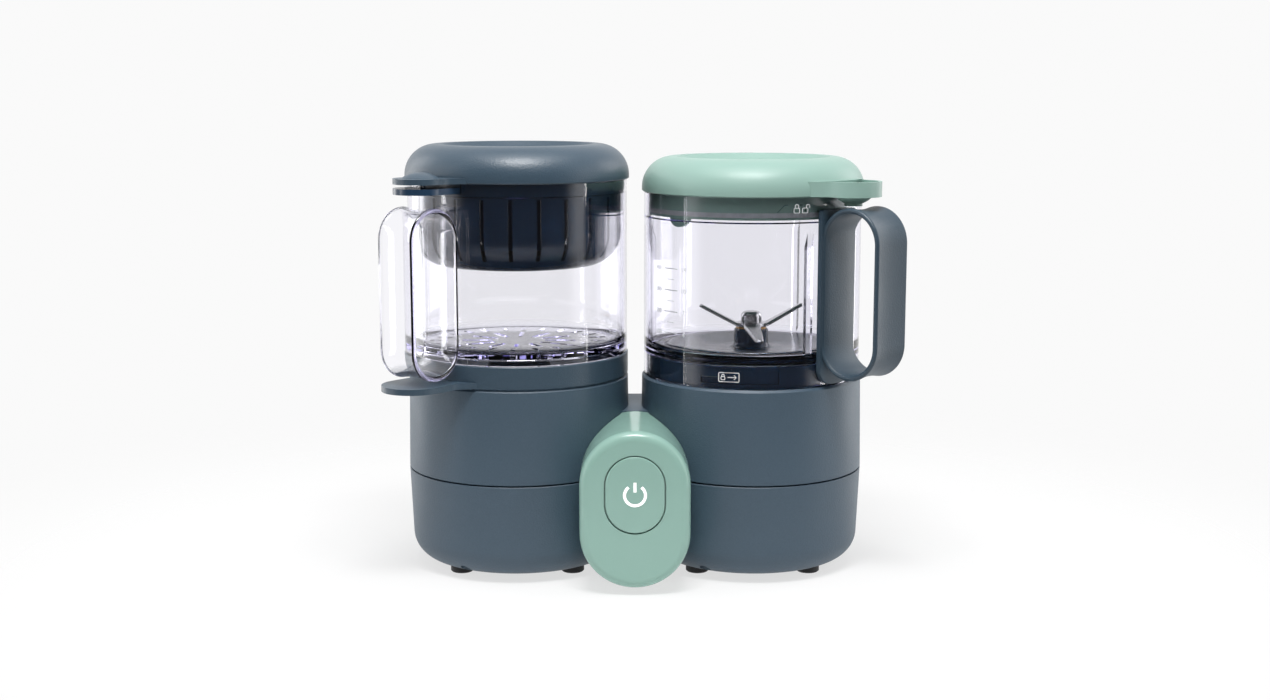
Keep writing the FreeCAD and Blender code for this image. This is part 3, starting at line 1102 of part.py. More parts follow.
def blender_jar():
    """Clear jar: skirt with bayonet lugs, ledge over the blade unit, three flow ribs and a stepped rim."""
    shape = lathe([(JAR_RADIUS, JAR_LOW, SOFT_EDGE), (JAR_RADIUS, JAR_RIM, SMALL_EDGE),
                   (JAR_RIM_INNER, JAR_RIM, SMALL_EDGE),
                   (JAR_RIM_INNER, JAR_STEP, 0), (JAR_INNER, JAR_STEP - JAR_WALL + JAR_RIM_WALL, 0),
                   (JAR_INNER, JAR_LEDGE_TOP, VESSEL_BLEND), (JAR_LEDGE_INNER, JAR_LEDGE_TOP, SOFT_EDGE),
                   (JAR_LEDGE_INNER, JAR_LEDGE_LOW, 0), (JAR_RIM_INNER, JAR_LEDGE_LOW, FINE_EDGE),
                   (JAR_RIM_INNER, JAR_LOW, FINE_EDGE)])
    lug = sector(JAR_RIM_INNER - LUG_PROUD, JAR_RADIUS - JAR_RIM_WALL / 2, LUG_LOW, LUG_LOW + LUG_HEIGHT,
                 -LUG_ANGLE / 2, LUG_ANGLE)
    rib_top = JAR_RIM - JAR_RIB_TOP_DEPTH
    rib_corners = [(JAR_INNER - JAR_RIB_PROUD, JAR_LEDGE_TOP - JAR_LEDGE / 2, 0),
                   (JAR_INNER + JAR_WALL / 2, JAR_LEDGE_TOP - JAR_LEDGE / 2, 0),
                   (JAR_INNER + JAR_WALL / 2, rib_top + JAR_RIB_POINT / 2, 0),
                   (JAR_INNER - JAR_RIB_PROUD, rib_top - JAR_RIB_POINT, INNER_BEND)]
    rib_face = rounded_face(rib_corners, lambda p: Vector(p.x, -JAR_RIB_WIDTH / 2, p.y))
    rib = rib_face.extrude(BACKWARDS * JAR_RIB_WIDTH)
    return shape.fuse(around(lug, LUG_COUNT, LUG_FIRST) + around(rib, JAR_RIBS, JAR_RIB_FIRST))


def jar_handle():
    """Dark loop handle with a pad that hugs the jar."""
    loop = loop_handle(JAR_RADIUS, JAR_HANDLE_REACH, HANDLE_WIDTH, HANDLE_BAND, HANDLE_LOW, JAR_HANDLE_HIGH)
    corners = [(-PAD_HALF_WIDTH, PAD_LOW, PAD_CORNER), (PAD_HALF_WIDTH, PAD_LOW, PAD_CORNER),
               (PAD_HALF_WIDTH, PAD_HIGH, INNER_BEND), (-PAD_HALF_WIDTH, PAD_HIGH, INNER_BEND)]
    face = rounded_face(corners, lambda p: Vector(0, p.x, p.y))
    pad = face.extrude(SIDEWAYS * JAR_HANDLE_REACH)
    pad = pad.common(ring(JAR_RADIUS + PAD_THICKNESS, JAR_RADIUS, PAD_LOW, PAD_HIGH))
    return turned(pad.fuse(loop), JAR_HANDLE_ANGLE)


def at_left(shape):
    return moved(shape, LEFT_X)


def at_right(shape):
    return moved(shape, RIGHT_X)


def group(shapes, x=0):
    return Part.makeCompound([moved(shape, x) for shape in shapes])


pieces = {
    "left_tub": at_left(tub()),
    "right_tub": at_right(vented(tub())),
    "left_tower": at_left(left_sleeve()),
    "right_tower": at_right(right_sleeve()),
    "bridge_housing": bridge(),
    "cord_gland": cord_gland(),
    "rubber_feet": group(feet()),
    "housing_screws": group(housing_screws()),
    "control_panel": control_panel(),
    "control_board": control_board(),
    "tact_switch": tact_switch(),
    "start_button": start_button(),
    "boiler_pan": at_left(boiler_pan()),
    "boiler_seal": at_left(boiler_seal()),
    "heating_element": at_left(heating_element()),
    "thermostat": at_left(thermostat()),
    "power_board": at_left(power_board()),
    "motor_can": at_right(motor_can()),
    "field_magnets": group(field_magnets(), RIGHT_X),
    "motor_bracket": at_right(motor_bracket()),
    "motor_screws": group(motor_screws(), RIGHT_X),
    "motor_bushes": group(motor_bushes(), RIGHT_X),
    "motor_shaft": at_right(motor_shaft()),
    "armature": at_right(armature()),
    "commutator": at_right(commutator()),
    "drive_coupling": at_right(drive_coupling()),
    "drip_tray": at_left(drip_tray()),
    "steam_bowl": at_left(steam_bowl()),
    "bowl_handle": at_left(bowl_handle()),
    "steam_basket": at_left(steam_basket()),
    "steamer_lid": at_left(steamer_lid()),
    "steamer_lid_seal": at_left(lid_seal(STEAMER_SKIRT_RADIUS, BOWL_RIM, STEAMER_SKIRT)),
    "blade_base": at_right(blade_base()),
    "blade_base_seal": at_right(blade_base_seal()),
    "blade_bush": at_right(blade_bush()),
    "blade_shaft": at_right(blade_shaft()),
    "blade_cross": at_right(blade_cross()),
    "blade_nut": at_right(blade_nut()),
    "driven_coupling": at_right(driven_coupling()),
    "blender_jar": at_right(blender_jar()),
    "jar_handle": at_right(jar_handle()),
    "blender_lid": at_right(blender_lid()),
    "blender_lid_seal": at_right(lid_seal(BLENDER_SKIRT_RADIUS, JAR_RIM, BLENDER_SKIRT)),
}

box = Part.makeCompound(list(pieces.values())).optimalBoundingBox(False, False)
middle_x = (box.XMin + box.XMax) / 2
middle_y = (box.YMin + box.YMax) / 2
print(f"machine frame moved by {-middle_x:.4f}, {-middle_y:.4f}, {-box.ZMin:.4f}")
print(f"overall size {box.XLength:.2f} x {box.YLength:.2f} x {box.ZLength:.2f}")

os.makedirs("parts", exist_ok=True)
for name, shape in pieces.items():
    placed = moved(shape, -middle_x, -middle_y, -box.ZMin)
    print(f"{name}: {len(placed.Solids)} solids, valid {placed.isValid()}, volume {placed.Volume:.1f}")
    placed.exportStep(f"parts/{name}.step")
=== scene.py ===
import json
import math

import bmesh
import bpy
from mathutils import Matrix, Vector


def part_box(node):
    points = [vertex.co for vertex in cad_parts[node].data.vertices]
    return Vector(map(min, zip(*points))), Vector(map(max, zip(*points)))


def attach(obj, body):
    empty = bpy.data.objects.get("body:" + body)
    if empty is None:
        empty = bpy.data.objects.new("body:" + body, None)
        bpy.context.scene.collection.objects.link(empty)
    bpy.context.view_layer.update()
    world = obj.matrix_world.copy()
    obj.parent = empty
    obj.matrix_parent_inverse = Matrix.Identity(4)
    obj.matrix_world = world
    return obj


# Baby food maker: finishes of the pieces, moulded and printed marks, studio light and camera.
# Lengths are metres in the model's own frame: +X to the blender's side, -Y to the front, +Z up.

MILLIMETRE = 0.001

# Camera, for a picture of 1270 x 700 pixels
PICTURE_WIDTH = 1270
FOCAL_PIXELS = 1700
SENSOR_WIDTH = 36.0
CAMERA_DISTANCE = 0.894     # in front of the towers' axes
CAMERA_HEIGHT = 0.254
CAMERA_PITCH = 8.98         # degrees below level

# Stage and light
FLOOR_RADIUS = 1.2
FLOOR_SOLID = 0.20          # from here outwards the floor fades into the white surroundings
FLOOR_FADED = 0.50
FLOOR_WHITE = 0.88
FLOOR_GLOW = 0.70           # share of plain white that the floor shows under the shadow
FLOOR_SHADE = 0.995
FLOOR_ROUGHNESS = 0.9
FLOOR_CLOUD = 0.6
FLOOR_CORNERS = 96
BACKGROUND_WHITE = 0.955
FRONT_DARK = 0.05           # surroundings behind the camera, as gloss shows them
DARK_Y = -0.62              # Y of a direction: dark up to here, and white from the next value on
WHITE_Y = -0.30
FILL_STRENGTH = 0.34
LAMP_TARGET = (0, -0.02, 0.15)
SIDE_TARGET = (0, 0, 0.12)

# Marks
MARK_HEIGHT = 0.12 * MILLIMETRE
MARK_SINK = 0.05 * MILLIMETRE
WELD = 0.002 * MILLIMETRE
ARC_STEPS = 28
CORNER_STEPS = 4
DIGIT_SHARE = 0.7           # height of a digit in the font's own size

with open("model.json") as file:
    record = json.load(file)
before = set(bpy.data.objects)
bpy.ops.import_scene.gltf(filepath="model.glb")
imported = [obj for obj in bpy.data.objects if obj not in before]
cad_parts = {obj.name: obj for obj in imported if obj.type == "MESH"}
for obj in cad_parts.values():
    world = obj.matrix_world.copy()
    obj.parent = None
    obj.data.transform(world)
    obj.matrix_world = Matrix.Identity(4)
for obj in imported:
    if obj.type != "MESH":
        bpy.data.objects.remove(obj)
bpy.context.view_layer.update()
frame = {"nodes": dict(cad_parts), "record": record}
nodes = frame["nodes"]


def centre_of(node):
    low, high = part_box(node)
    return (low + high) / 2


STEAMER_AXIS = centre_of("left_tub")
BLENDER_AXIS = centre_of("right_tub")
MIDDLE_X = (STEAMER_AXIS.x + BLENDER_AXIS.x) / 2


# Materials

PLASTIC_IOR = 1.5
NOISE_LOW = 0.3             # most of the noise lies between these two
NOISE_HIGH = 0.7
GLOSS_SPREAD = 0.03         # a plastic's roughness varies by this much either way
GLOSS_PATCH = 40            # grains across one patch of even gloss
FLOW_PATCH = 12 * MILLIMETRE
LINE_WIDTH = 0.4 * MILLIMETRE
LINE_DEPTH = 0.01 * MILLIMETRE
LINE_SHADE = 0.82
LINE_SPREAD = 0.06
DUST_PATCH = 3 * MILLIMETRE
DUST_SHADE = 0.8
DUST_SPREAD = 0.05
RUBBER_GRAIN = 0.3 * MILLIMETRE
RUBBER_BUMP = 0.02 * MILLIMETRE
RUBBER_SHEEN = 0.2
LENS_CLOUD = 2 * MILLIMETRE
LENS_SHADE = 0.97
LENS_ROUGHNESS = 0.35


def start_material(name):
    """A node material with its tree, its shader and a vector in metres on the piece."""
    material = bpy.data.materials.new(name)
    material.use_nodes = True
    tree = material.node_tree
    shader = tree.nodes["Principled BSDF"]
    place = tree.nodes.new("ShaderNodeTexCoord").outputs["Object"]
    return material, tree, shader, place


def noise(tree, place, grain, detail=2.0):
    """Noise whose features are about one grain across."""
    node = tree.nodes.new("ShaderNodeTexNoise")
    node.inputs["Scale"].default_value = 1 / grain
    node.inputs["Detail"].default_value = detail
    tree.links.new(place, node.inputs["Vector"])
    return node.outputs["Fac"]


def ramp(tree, value, start, end, low, high, smooth=False):
    """Value between start and end, mapped to run from low to high."""
    node = tree.nodes.new("ShaderNodeMapRange")
    node.interpolation_type = "SMOOTHSTEP" if smooth else "LINEAR"
    node.inputs["From Min"].default_value = start
    node.inputs["From Max"].default_value = end
    node.inputs["To Min"].default_value = low
    node.inputs["To Max"].default_value = high
    tree.links.new(value, node.inputs["Value"])
    return node.outputs["Result"]


def spread(tree, value, low, high):
    """Noise, which lies near a half, stretched to run from low to high."""
    return ramp(tree, value, NOISE_LOW, NOISE_HIGH, low, high)


def tinted(tree, value, colour, shade):
    """Colour that varies with value between colour and colour times shade."""
    node = tree.nodes.new("ShaderNodeMix")
    node.data_type = "RGBA"
    node.inputs["A"].default_value = (*colour, 1)
    node.inputs["B"].default_value = (*[part * shade for part in colour], 1)
    tree.links.new(value, node.inputs["Factor"])
    return node.outputs["Result"]


def bumped(tree, shader, value, depth):
    node = tree.nodes.new("ShaderNodeBump")
    node.inputs["Distance"].default_value = depth
    tree.links.new(value, node.inputs["Height"])
    tree.links.new(node.outputs["Normal"], shader.inputs["Normal"])


def moulded_plastic(name, colour, roughness, grain, depth, shade=0.90):
    """Moulded plastic with a spark-eroded texture: fine grain, slightly uneven gloss and colour."""
    material, tree, shader, place = start_material(name)
    fine = noise(tree, place, grain)
    broad = noise(tree, place, GLOSS_PATCH * grain)
    tree.links.new(tinted(tree, spread(tree, fine, 0, 1), colour, shade), shader.inputs["Base Color"])
    gloss = spread(tree, broad, roughness - GLOSS_SPREAD, roughness + GLOSS_SPREAD)
    tree.links.new(gloss, shader.inputs["Roughness"])
    bumped(tree, shader, fine, depth)
    shader.inputs["IOR"].default_value = PLASTIC_IOR
    return material


def clear_plastic(name, tint, density, roughness):
    """Polished clear plastic that tints light the further it runs inside the wall."""
    material, tree, shader, place = start_material(name)
    shader.inputs["Base Color"].default_value = (1, 1, 1, 1)
    shader.inputs["Transmission Weight"].default_value = 1.0
    shader.inputs["IOR"].default_value = PLASTIC_IOR
    broad = noise(tree, place, FLOW_PATCH)
    tree.links.new(spread(tree, broad, roughness, 2 * roughness), shader.inputs["Roughness"])
    absorb = tree.nodes.new("ShaderNodeVolumeAbsorption")
    absorb.inputs["Color"].default_value = (*tint, 1)
    absorb.inputs["Density"].default_value = density
    tree.links.new(absorb.outputs["Volume"], tree.nodes["Material Output"].inputs["Volume"])
    return material


def brushed_metal(name, colour, roughness, stretch):
    """Metal with fine lines along one direction; stretch scales the pattern along X, Y and Z."""
    material, tree, shader, place = start_material(name)
    mapping = tree.nodes.new("ShaderNodeMapping")
    mapping.inputs["Scale"].default_value = stretch
    tree.links.new(place, mapping.inputs["Vector"])
    lines = noise(tree, mapping.outputs["Vector"], LINE_WIDTH, detail=4.0)
    tree.links.new(tinted(tree, spread(tree, lines, 0, 1), colour, LINE_SHADE), shader.inputs["Base Color"])
    gloss = spread(tree, lines, roughness - LINE_SPREAD, roughness + LINE_SPREAD)
    tree.links.new(gloss, shader.inputs["Roughness"])
    shader.inputs["Metallic"].default_value = 1.0
    bumped(tree, shader, lines, LINE_DEPTH)
    return material


def rubbery(name, colour, roughness):
    """Rubber or silicone with a soft sheen and a slightly dusty colour."""
    material, tree, shader, place = start_material(name)
    dust = noise(tree, place, DUST_PATCH, detail=5.0)
    tree.links.new(tinted(tree, spread(tree, dust, 0, 1), colour, DUST_SHADE), shader.inputs["Base Color"])
    gloss = spread(tree, dust, roughness - DUST_SPREAD, roughness + DUST_SPREAD)
    tree.links.new(gloss, shader.inputs["Roughness"])
    shader.inputs["Sheen Weight"].default_value = RUBBER_SHEEN
    bumped(tree, shader, noise(tree, place, RUBBER_GRAIN), RUBBER_BUMP)
    return material


def lit_lens(name, colour, glow):
    """White translucent insert with a painted glow, as though a little light came from behind."""
    material, tree, shader, place = start_material(name)
    cloudy = noise(tree, place, LENS_CLOUD)
    tree.links.new(tinted(tree, spread(tree, cloudy, 0, 1), colour, LENS_SHADE), shader.inputs["Base Color"])
    shader.inputs["Roughness"].default_value = LENS_ROUGHNESS
    # painted glow: the insert gives off light of its own
    shader.inputs["Emission Color"].default_value = (1, 1, 1, 1)
    shader.inputs["Emission Strength"].default_value = glow
    return material


FINE_GRAIN = 0.80 * MILLIMETRE
SATIN_GRAIN = 0.25 * MILLIMETRE
COARSE_BUMP = 0.14 * MILLIMETRE
SATIN_BUMP = 0.012 * MILLIMETRE
FLAT_BUMP = 0.006 * MILLIMETRE


def grained(name, colour, roughness):
    """Plastic of the housings, with a texture that can be felt."""
    return moulded_plastic(name, colour, roughness, FINE_GRAIN, COARSE_BUMP)


def smooth(name, colour, roughness, shade=0.90):
    """Plastic with an almost polished face."""
    return moulded_plastic(name, colour, roughness, SATIN_GRAIN, FLAT_BUMP, shade)


finishes = {
    "slate_plastic": grained("slate plastic", colour=(0.053, 0.088, 0.124), roughness=0.46),
    "dark_plastic": grained("dark plastic", colour=(0.042, 0.072, 0.103), roughness=0.36),
    # Mint of the lid, set a little darker than the panel's glossy mint: painted shade that tones the top
    # down under the overhead light
    "mint_plastic": moulded_plastic("mint plastic", colour=(0.258, 0.402, 0.354), roughness=0.40,
                                    grain=SATIN_GRAIN, depth=SATIN_BUMP, shade=0.96),
    "clear_plastic": clear_plastic("clear plastic", tint=(0.55, 0.50, 0.985), density=24.0, roughness=0.012),
    "stainless_steel": brushed_metal("stainless steel", colour=(0.62, 0.62, 0.63), roughness=0.26,
                                     stretch=(1, 12, 1)),
    "zinc_steel": brushed_metal("zinc steel", colour=(0.52, 0.53, 0.55), roughness=0.34, stretch=(1, 1, 6)),
    "cast_aluminium": brushed_metal("cast aluminium", colour=(0.56, 0.57, 0.58), roughness=0.45,
                                    stretch=(1, 1, 1)),
    "bronze": brushed_metal("bronze", colour=(0.50, 0.31, 0.13), roughness=0.40, stretch=(1, 1, 4)),
    "ferrite": moulded_plastic("ferrite", colour=(0.045, 0.045, 0.05), roughness=0.55,
                               grain=FINE_GRAIN, depth=SATIN_BUMP),
    "silicone": rubbery("silicone", colour=(0.50, 0.53, 0.56), roughness=0.48),
    "black_rubber": rubbery("black rubber", colour=(0.014, 0.014, 0.016), roughness=0.62),
    "circuit_board": smooth("circuit board", colour=(0.02, 0.15, 0.06), roughness=0.30),
    "switch_plastic": smooth("switch plastic", colour=(0.02, 0.02, 0.022), roughness=0.42),
    "coupling_plastic": smooth("coupling plastic", colour=(0.035, 0.04, 0.045), roughness=0.42),
}
frosted = smooth("frosted mark", colour=(0.80, 0.81, 0.84), roughness=0.50, shade=0.96)
# Darker mint of the bayonet track's edge: painted shade along the track
track_shadow = smooth("mint painted shade", colour=(0.110, 0.200, 0.170), roughness=0.42)
# White of the standby symbol, with a painted glow: an emission on a mark that is no lamp
painted_glow_white = lit_lens("symbol with painted glow", colour=(0.90, 0.91, 0.90), glow=0.35)

# The basket and the blade collar are moulded darker and glossier than the rest of their plastic, the jar's
# handle is darker as painted shade, and the panel and its button are polished where the lid of their plastic
# is satin
glossy_dark = smooth("glossy dark plastic", colour=(0.016, 0.040, 0.080), roughness=0.22)
glossy_mint = smooth("glossy mint plastic", colour=(0.265, 0.435, 0.376), roughness=0.20, shade=0.97)
# Darker handle colour: painted shade, where the handle sits shaded beside the jar
handle_painted_shade = grained("handle plastic painted shade", colour=(0.030, 0.055, 0.080), roughness=0.44)
special_finishes = {
    "jar_handle": handle_painted_shade,
    "steam_basket": glossy_dark,
    "blade_base": glossy_dark,
    "control_panel": glossy_mint,
    "start_button": glossy_mint,
}

for row in frame["record"]["subparts"]:
    mesh = nodes[row["node"]].data
    mesh.materials.clear()
    mesh.materials.append(special_finishes.get(row["node"], finishes[row["material_slot"]]))


# Marks: flat strokes (across, up) with a small height, laid on a face or wrapped round a wall

def arc(across, up, radius, start, sweep):
    """Points of an arc about (across, up); angles in degrees, counted from the right-hand side upwards."""
    angles = [math.radians(start + sweep * i / ARC_STEPS) for i in range(ARC_STEPS + 1)]
    return [(across + radius * math.cos(a), up + radius * math.sin(a)) for a in angles]


def rounded_box(across, up, width, height, corner):
    """Closed outline of a box with round corners about (across, up)."""
    points = []
    for i, (side, level) in enumerate(((1, 1), (-1, 1), (-1, -1), (1, -1))):
        middle = (across + side * (width / 2 - corner), up + level * (height / 2 - corner))
        points += arc(*middle, corner, 90 * i, 90)[::ARC_STEPS // CORNER_STEPS]
    return points


def add_stroke(bm, points, width, closed=False):
    """Adds a ribbon of a given width along points, as a closed prism from -MARK_SINK to MARK_HEIGHT."""
    flat = [Vector(p) for p in points]
    count = len(flat)
    corners = ((-1, -MARK_SINK), (1, -MARK_SINK), (1, MARK_HEIGHT), (-1, MARK_HEIGHT))
    rows = []
    for i, here in enumerate(flat):
        back = flat[i - 1] if closed or i > 0 else here
        ahead = flat[(i + 1) % count] if closed or i < count - 1 else here
        along = (ahead - back).normalized()
        side = Vector((-along.y, along.x)) * width / 2
        rows.append([bm.verts.new((*(here + turn * side), level)) for turn, level in corners])
    for i in range(count if closed else count - 1):
        first, second = rows[i], rows[(i + 1) % count]
        for k in range(4):
            bm.faces.new((first[k], first[(k + 1) % 4], second[(k + 1) % 4], second[k]))
    if not closed:
        bm.faces.new(rows[0][::-1])
        bm.faces.new(rows[-1])


def add_number(bm, text, across, up, height):
    """Adds a plain number, centred across and standing on up."""
    curve = bpy.data.curves.new("number", "FONT")
    curve.body = text
    curve.size = height / DIGIT_SHARE
    curve.align_x = "CENTER"
    curve.extrude = (MARK_HEIGHT + MARK_SINK) / 2
    holder = bpy.data.objects.new("number", curve)
    bpy.context.scene.collection.objects.link(holder)
    bpy.context.view_layer.update()
    mesh = bpy.data.meshes.new_from_object(holder.evaluated_get(bpy.context.evaluated_depsgraph_get()))
    for vertex in mesh.vertices:
        vertex.co += Vector((across, up, (MARK_HEIGHT - MARK_SINK) / 2))
    before = len(bm.verts)
    bm.from_mesh(mesh)
    bmesh.ops.remove_doubles(bm, verts=list(bm.verts)[before:], dist=WELD)
    bpy.data.objects.remove(holder)
    bpy.data.curves.remove(curve)
    bpy.data.meshes.remove(mesh)


def add_padlock(bm, across, up, width, line, is_open):
    """Adds a plain padlock outline; an open one has its shackle swung to the side."""
    height = 0.8 * width
    corner = 0.2 * width
    add_stroke(bm, rounded_box(across, up, width, height, corner), line, True)
    shackle = 0.3 * width
    swing = 1.8 * shackle if is_open else 0
    middle = across + swing
    foot = up + height / 2
    hoop = arc(middle, foot + shackle, shackle, 0, 180)
    add_stroke(bm, [(middle + shackle, foot)] + hoop + [(middle - shackle, foot)], line)


def finish_mark(name, bm, place, body, material):
    """Puts the strokes in space with place(across, up, lift) and makes them a piece of a body."""
    for vertex in bm.verts:
        vertex.co = place(*vertex.co)
    bmesh.ops.recalc_face_normals(bm, faces=bm.faces)
    mesh = bpy.data.meshes.new(name)
    bm.to_mesh(mesh)
    bm.free()
    mesh.materials.append(material)
    piece = bpy.data.objects.new(name, mesh)
    bpy.context.scene.collection.objects.link(piece)
    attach(piece, body)


def on_wall(axis, radius, front_angle):
    """Wraps (across, up, lift) round an upright wall; front_angle is counted from the front to the right."""
    def place(across, up, lift):
        angle = math.radians(front_angle) + across / radius
        reach = radius + lift
        return Vector((axis.x + reach * math.sin(angle), axis.y - reach * math.cos(angle), up))
    return place


def jar_radius():
    """Outer radius of the jar's wall."""
    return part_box("blender_jar")[1].x - BLENDER_AXIS.x


def add_standby_symbol():
    """Open ring and bar in the middle of the button."""
    middle = centre_of("start_button")
    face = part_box("start_button")[0].y
    radius = 5.2 * MILLIMETRE
    width = 1.5 * MILLIMETRE
    gap = 38
    bm = bmesh.new()
    add_stroke(bm, arc(0, 0, radius, 90 + gap, 360 - 2 * gap), width)
    add_stroke(bm, [(0, 0.3 * radius), (0, 1.25 * radius)], width)

    def place(across, up, lift):
        return Vector((middle.x + across, face - lift, middle.z + up))
    finish_mark("standby_symbol", bm, place, "button", painted_glow_white)


def add_jar_scale():
    """Two columns of plain numbers with ticks between them, moulded on the jar's left front."""
    front_angle = -50
    levels = 4
    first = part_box("blender_jar")[0].z + 26 * MILLIMETRE
    step = 11.0 * MILLIMETRE
    long_tick = 5 * MILLIMETRE
    long_line = 0.45 * MILLIMETRE
    short_tick = 2.5 * MILLIMETRE
    short_line = 0.35 * MILLIMETRE
    digit = 2.4 * MILLIMETRE
    left_column = -10 * MILLIMETRE
    right_column = 9 * MILLIMETRE
    left_unit = 100
    right_unit = 3.5
    bm = bmesh.new()
    for i in range(levels):
        level = first + i * step
        foot = level - digit / 2
        add_stroke(bm, [(-long_tick, level), (long_tick, level)], long_line)
        add_number(bm, str(left_unit * (i + 1)), left_column, foot, digit)
        add_number(bm, str(round(right_unit * (i + 1))), right_column, foot, digit)
        if i < levels - 1:
            between = level + step / 2
            add_stroke(bm, [(-short_tick, between), (short_tick, between)], short_line)
    place = on_wall(BLENDER_AXIS, jar_radius(), front_angle)
    finish_mark("jar_scale", bm, place, "jar", frosted)


def add_rim_locks():
    """Closed and open padlock on the jar's rim, beside the handle."""
    front_angle = 21
    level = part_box("blender_jar")[1].z - 6.6 * MILLIMETRE
    apart = 2.3 * MILLIMETRE
    width = 3.0 * MILLIMETRE
    line = 0.3 * MILLIMETRE
    bm = bmesh.new()
    add_padlock(bm, -apart, level, width, line, False)
    add_padlock(bm, apart, level, width, line, True)
    place = on_wall(BLENDER_AXIS, jar_radius(), front_angle)
    finish_mark("rim_locks", bm, place, "jar", frosted)


def add_skirt_plate():
    """Framed padlock and arrow on the jar's skirt, over the bayonet."""
    front_angle = -15
    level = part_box("blender_jar")[0].z + 6.2 * MILLIMETRE
    frame_width = 10.4 * MILLIMETRE
    frame_height = 4.6 * MILLIMETRE
    frame_corner = 0.6 * MILLIMETRE
    line = 0.4 * MILLIMETRE
    lock_across = -3.0 * MILLIMETRE
    lock_level = level - 0.5 * MILLIMETRE
    lock_width = 2.0 * MILLIMETRE
    lock_line = 0.35 * MILLIMETRE
    tail = -0.6 * MILLIMETRE
    tip = 3.8 * MILLIMETRE
    barb = 1.1 * MILLIMETRE
    bm = bmesh.new()
    add_stroke(bm, rounded_box(0, level, frame_width, frame_height, frame_corner), line, True)
    add_padlock(bm, lock_across, lock_level, lock_width, lock_line, False)
    add_stroke(bm, [(tail, level), (tip, level)], line)
    add_stroke(bm, [(tip - barb, level + barb), (tip, level), (tip - barb, level - barb)], line)
    place = on_wall(BLENDER_AXIS, jar_radius(), front_angle)
    finish_mark("skirt_plate", bm, place, "jar", frosted)


def add_skirt_track():
    """Thin moulded edge of the bayonet track on the blender lid's skirt, in a darker mint that is painted
    shade along the track.
    """
    front_angle = 17.5
    seal_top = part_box("blender_lid_seal")[1]
    radius = seal_top.x - BLENDER_AXIS.x - 0.1 * MILLIMETRE
    low = seal_top.z + 0.3 * MILLIMETRE
    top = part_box("blender_jar")[1].z - 4.0 * MILLIMETRE
    slope_foot = -8 * MILLIMETRE
    slope_head = -4.4 * MILLIMETRE
    track_end = 5 * MILLIMETRE
    stop = 6.6 * MILLIMETRE
    stop_top = top - 1.5 * MILLIMETRE
    line = 0.45 * MILLIMETRE
    bm = bmesh.new()
    add_stroke(bm, [(slope_foot, low), (slope_head, top), (track_end, top)], line)
    add_stroke(bm, [(stop, stop_top), (stop, low)], line)
    place = on_wall(BLENDER_AXIS, radius, front_angle)
    finish_mark("skirt_track", bm, place, "blender_lid", track_shadow)


add_standby_symbol()
add_jar_scale()
add_rim_locks()
add_skirt_plate()
add_skirt_track()


# Stage, light and camera

SEEN_RAYS = ("Is Camera Ray", "Is Glossy Ray", "Is Transmission Ray")


def combine(tree, operation, first, second):
    """Result of a Math node on two values, each a socket or a number."""
    node = tree.nodes.new("ShaderNodeMath")
    node.operation = operation
    for value, socket in zip((first, second), node.inputs):
        if isinstance(value, float):
            socket.default_value = value
        else:
            tree.links.new(value, socket)
    return node.outputs["Value"]


def any_ray(tree, path, kinds):
    """One for rays of these kinds, else zero."""
    found = path.outputs[kinds[0]]
    for kind in kinds[1:]:
        found = combine(tree, "MAXIMUM", found, path.outputs[kind])
    return found


def unbounced(tree, path):
    """One for rays that only passed through clear walls since they left the camera, else zero."""
    bounces = combine(tree, "MAXIMUM", path.outputs["Glossy Depth"], path.outputs["Diffuse Depth"])
    return combine(tree, "LESS_THAN", bounces, 0.5)


def mix_shaders(tree, share, first, second):
    """Shader that runs from first to second as share runs from zero to one."""
    node = tree.nodes.new("ShaderNodeMixShader")
    tree.links.new(share, node.inputs["Fac"])
    tree.links.new(first, node.inputs[1])
    tree.links.new(second, node.inputs[2])
    return node.outputs["Shader"]


def add_floor():
    """Pale round floor that keeps the machine's shadow and fades out into the white surroundings."""
    material, tree, shader, place = start_material("floor")
    cloudy = noise(tree, place, FLOOR_CLOUD)
    white = (FLOOR_WHITE, FLOOR_WHITE, FLOOR_WHITE)
    tree.links.new(tinted(tree, spread(tree, cloudy, 0, 1), white, FLOOR_SHADE), shader.inputs["Base Color"])
    shader.inputs["Roughness"].default_value = FLOOR_ROUGHNESS
    distance = tree.nodes.new("ShaderNodeVectorMath")
    distance.operation = "LENGTH"
    tree.links.new(place, distance.inputs[0])
    fade = ramp(tree, distance.outputs["Value"], FLOOR_SOLID, FLOOR_FADED, 0, 1, True)
    glow = tree.nodes.new("ShaderNodeEmission")
    glow.inputs["Strength"].default_value = BACKGROUND_WHITE
    path = tree.nodes.new("ShaderNodeLightPath")
    share = ramp(tree, any_ray(tree, path, SEEN_RAYS), 0, 1, 0, FLOOR_GLOW)
    lit = mix_shaders(tree, share, shader.outputs["BSDF"], glow.outputs["Emission"])
    clear = tree.nodes.new("ShaderNodeBsdfTransparent")
    faded = mix_shaders(tree, fade, lit, clear.outputs["BSDF"])
    tree.links.new(faded, tree.nodes["Material Output"].inputs["Surface"])
    bpy.ops.mesh.primitive_circle_add(vertices=FLOOR_CORNERS, radius=FLOOR_RADIUS, fill_type="NGON")
    floor = bpy.context.object
    floor.name = "floor"
    floor.data.materials.append(material)


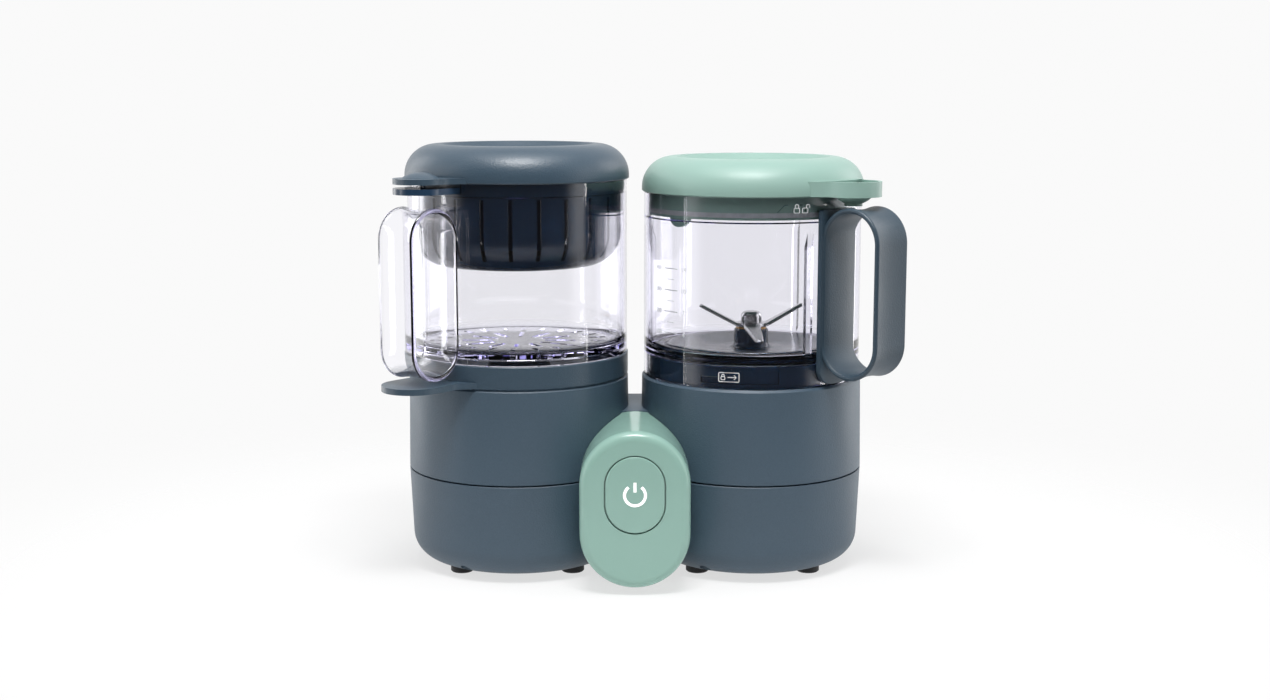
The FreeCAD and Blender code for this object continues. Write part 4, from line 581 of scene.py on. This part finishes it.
def add_world():
    """White surroundings, darker behind the camera as gloss shows them, and a lower fill light."""
    world = bpy.data.worlds.new("studio")
    world.use_nodes = True
    tree = world.node_tree
    bpy.context.scene.world = world
    direction = tree.nodes.new("ShaderNodeTexCoord").outputs["Generated"]
    split = tree.nodes.new("ShaderNodeSeparateXYZ")
    tree.links.new(direction, split.inputs["Vector"])
    gloss = ramp(tree, split.outputs["Y"], DARK_Y, WHITE_Y, FRONT_DARK, BACKGROUND_WHITE, True)
    path = tree.nodes.new("ShaderNodeLightPath")
    strength = tree.nodes.new("ShaderNodeMix")
    tree.links.new(unbounced(tree, path), strength.inputs["Factor"])
    tree.links.new(gloss, strength.inputs["A"])
    strength.inputs["B"].default_value = BACKGROUND_WHITE
    seen = tree.nodes["Background"]
    seen.inputs["Color"].default_value = (1, 1, 1, 1)
    tree.links.new(strength.outputs["Result"], seen.inputs["Strength"])
    fill = tree.nodes.new("ShaderNodeBackground")
    fill.inputs["Color"].default_value = (1, 1, 1, 1)
    fill.inputs["Strength"].default_value = FILL_STRENGTH
    direct = any_ray(tree, path, SEEN_RAYS)
    either = mix_shaders(tree, direct, fill.outputs["Background"], seen.outputs["Background"])
    tree.links.new(either, tree.nodes["World Output"].inputs["Surface"])


def add_softbox(name, place, target, width, height, power):
    """Rectangular lamp at place that faces target."""
    lamp = bpy.data.lights.new(name, "AREA")
    lamp.shape = "RECTANGLE"
    lamp.size = width
    lamp.size_y = height
    lamp.energy = power
    holder = bpy.data.objects.new(name, lamp)
    holder.location = place
    holder.rotation_euler = (Vector(target) - Vector(place)).to_track_quat("-Z", "Y").to_euler()
    bpy.context.scene.collection.objects.link(holder)


def add_camera():
    """Camera of the reference picture: level with the lids, looking a little down."""
    data = bpy.data.cameras.new("camera")
    data.sensor_width = SENSOR_WIDTH
    data.lens = SENSOR_WIDTH * FOCAL_PIXELS / PICTURE_WIDTH
    camera = bpy.data.objects.new("camera", data)
    camera.location = (MIDDLE_X, STEAMER_AXIS.y - CAMERA_DISTANCE, CAMERA_HEIGHT)
    camera.rotation_euler = (math.radians(90 - CAMERA_PITCH), 0, 0)
    bpy.context.scene.collection.objects.link(camera)
    bpy.context.scene.camera = camera


add_floor()
add_world()
add_softbox("overhead softbox", (0, -0.12, 1.0), LAMP_TARGET, width=0.9, height=0.45, power=2.5)
add_softbox("front softbox", (0, -0.42, 1.0), LAMP_TARGET, width=0.40, height=0.22, power=9.0)
for side in (-1, 1):
    add_softbox("rim softbox", (side * 0.78, 0.45, 0.25), SIDE_TARGET, width=0.4, height=0.9, power=2.6)
    add_softbox("strip lamp", (side * 0.85, -0.18, 0.25), SIDE_TARGET, width=0.06, height=0.9, power=1)
add_camera()
bpy.context.scene.view_settings.view_transform = "Standard"
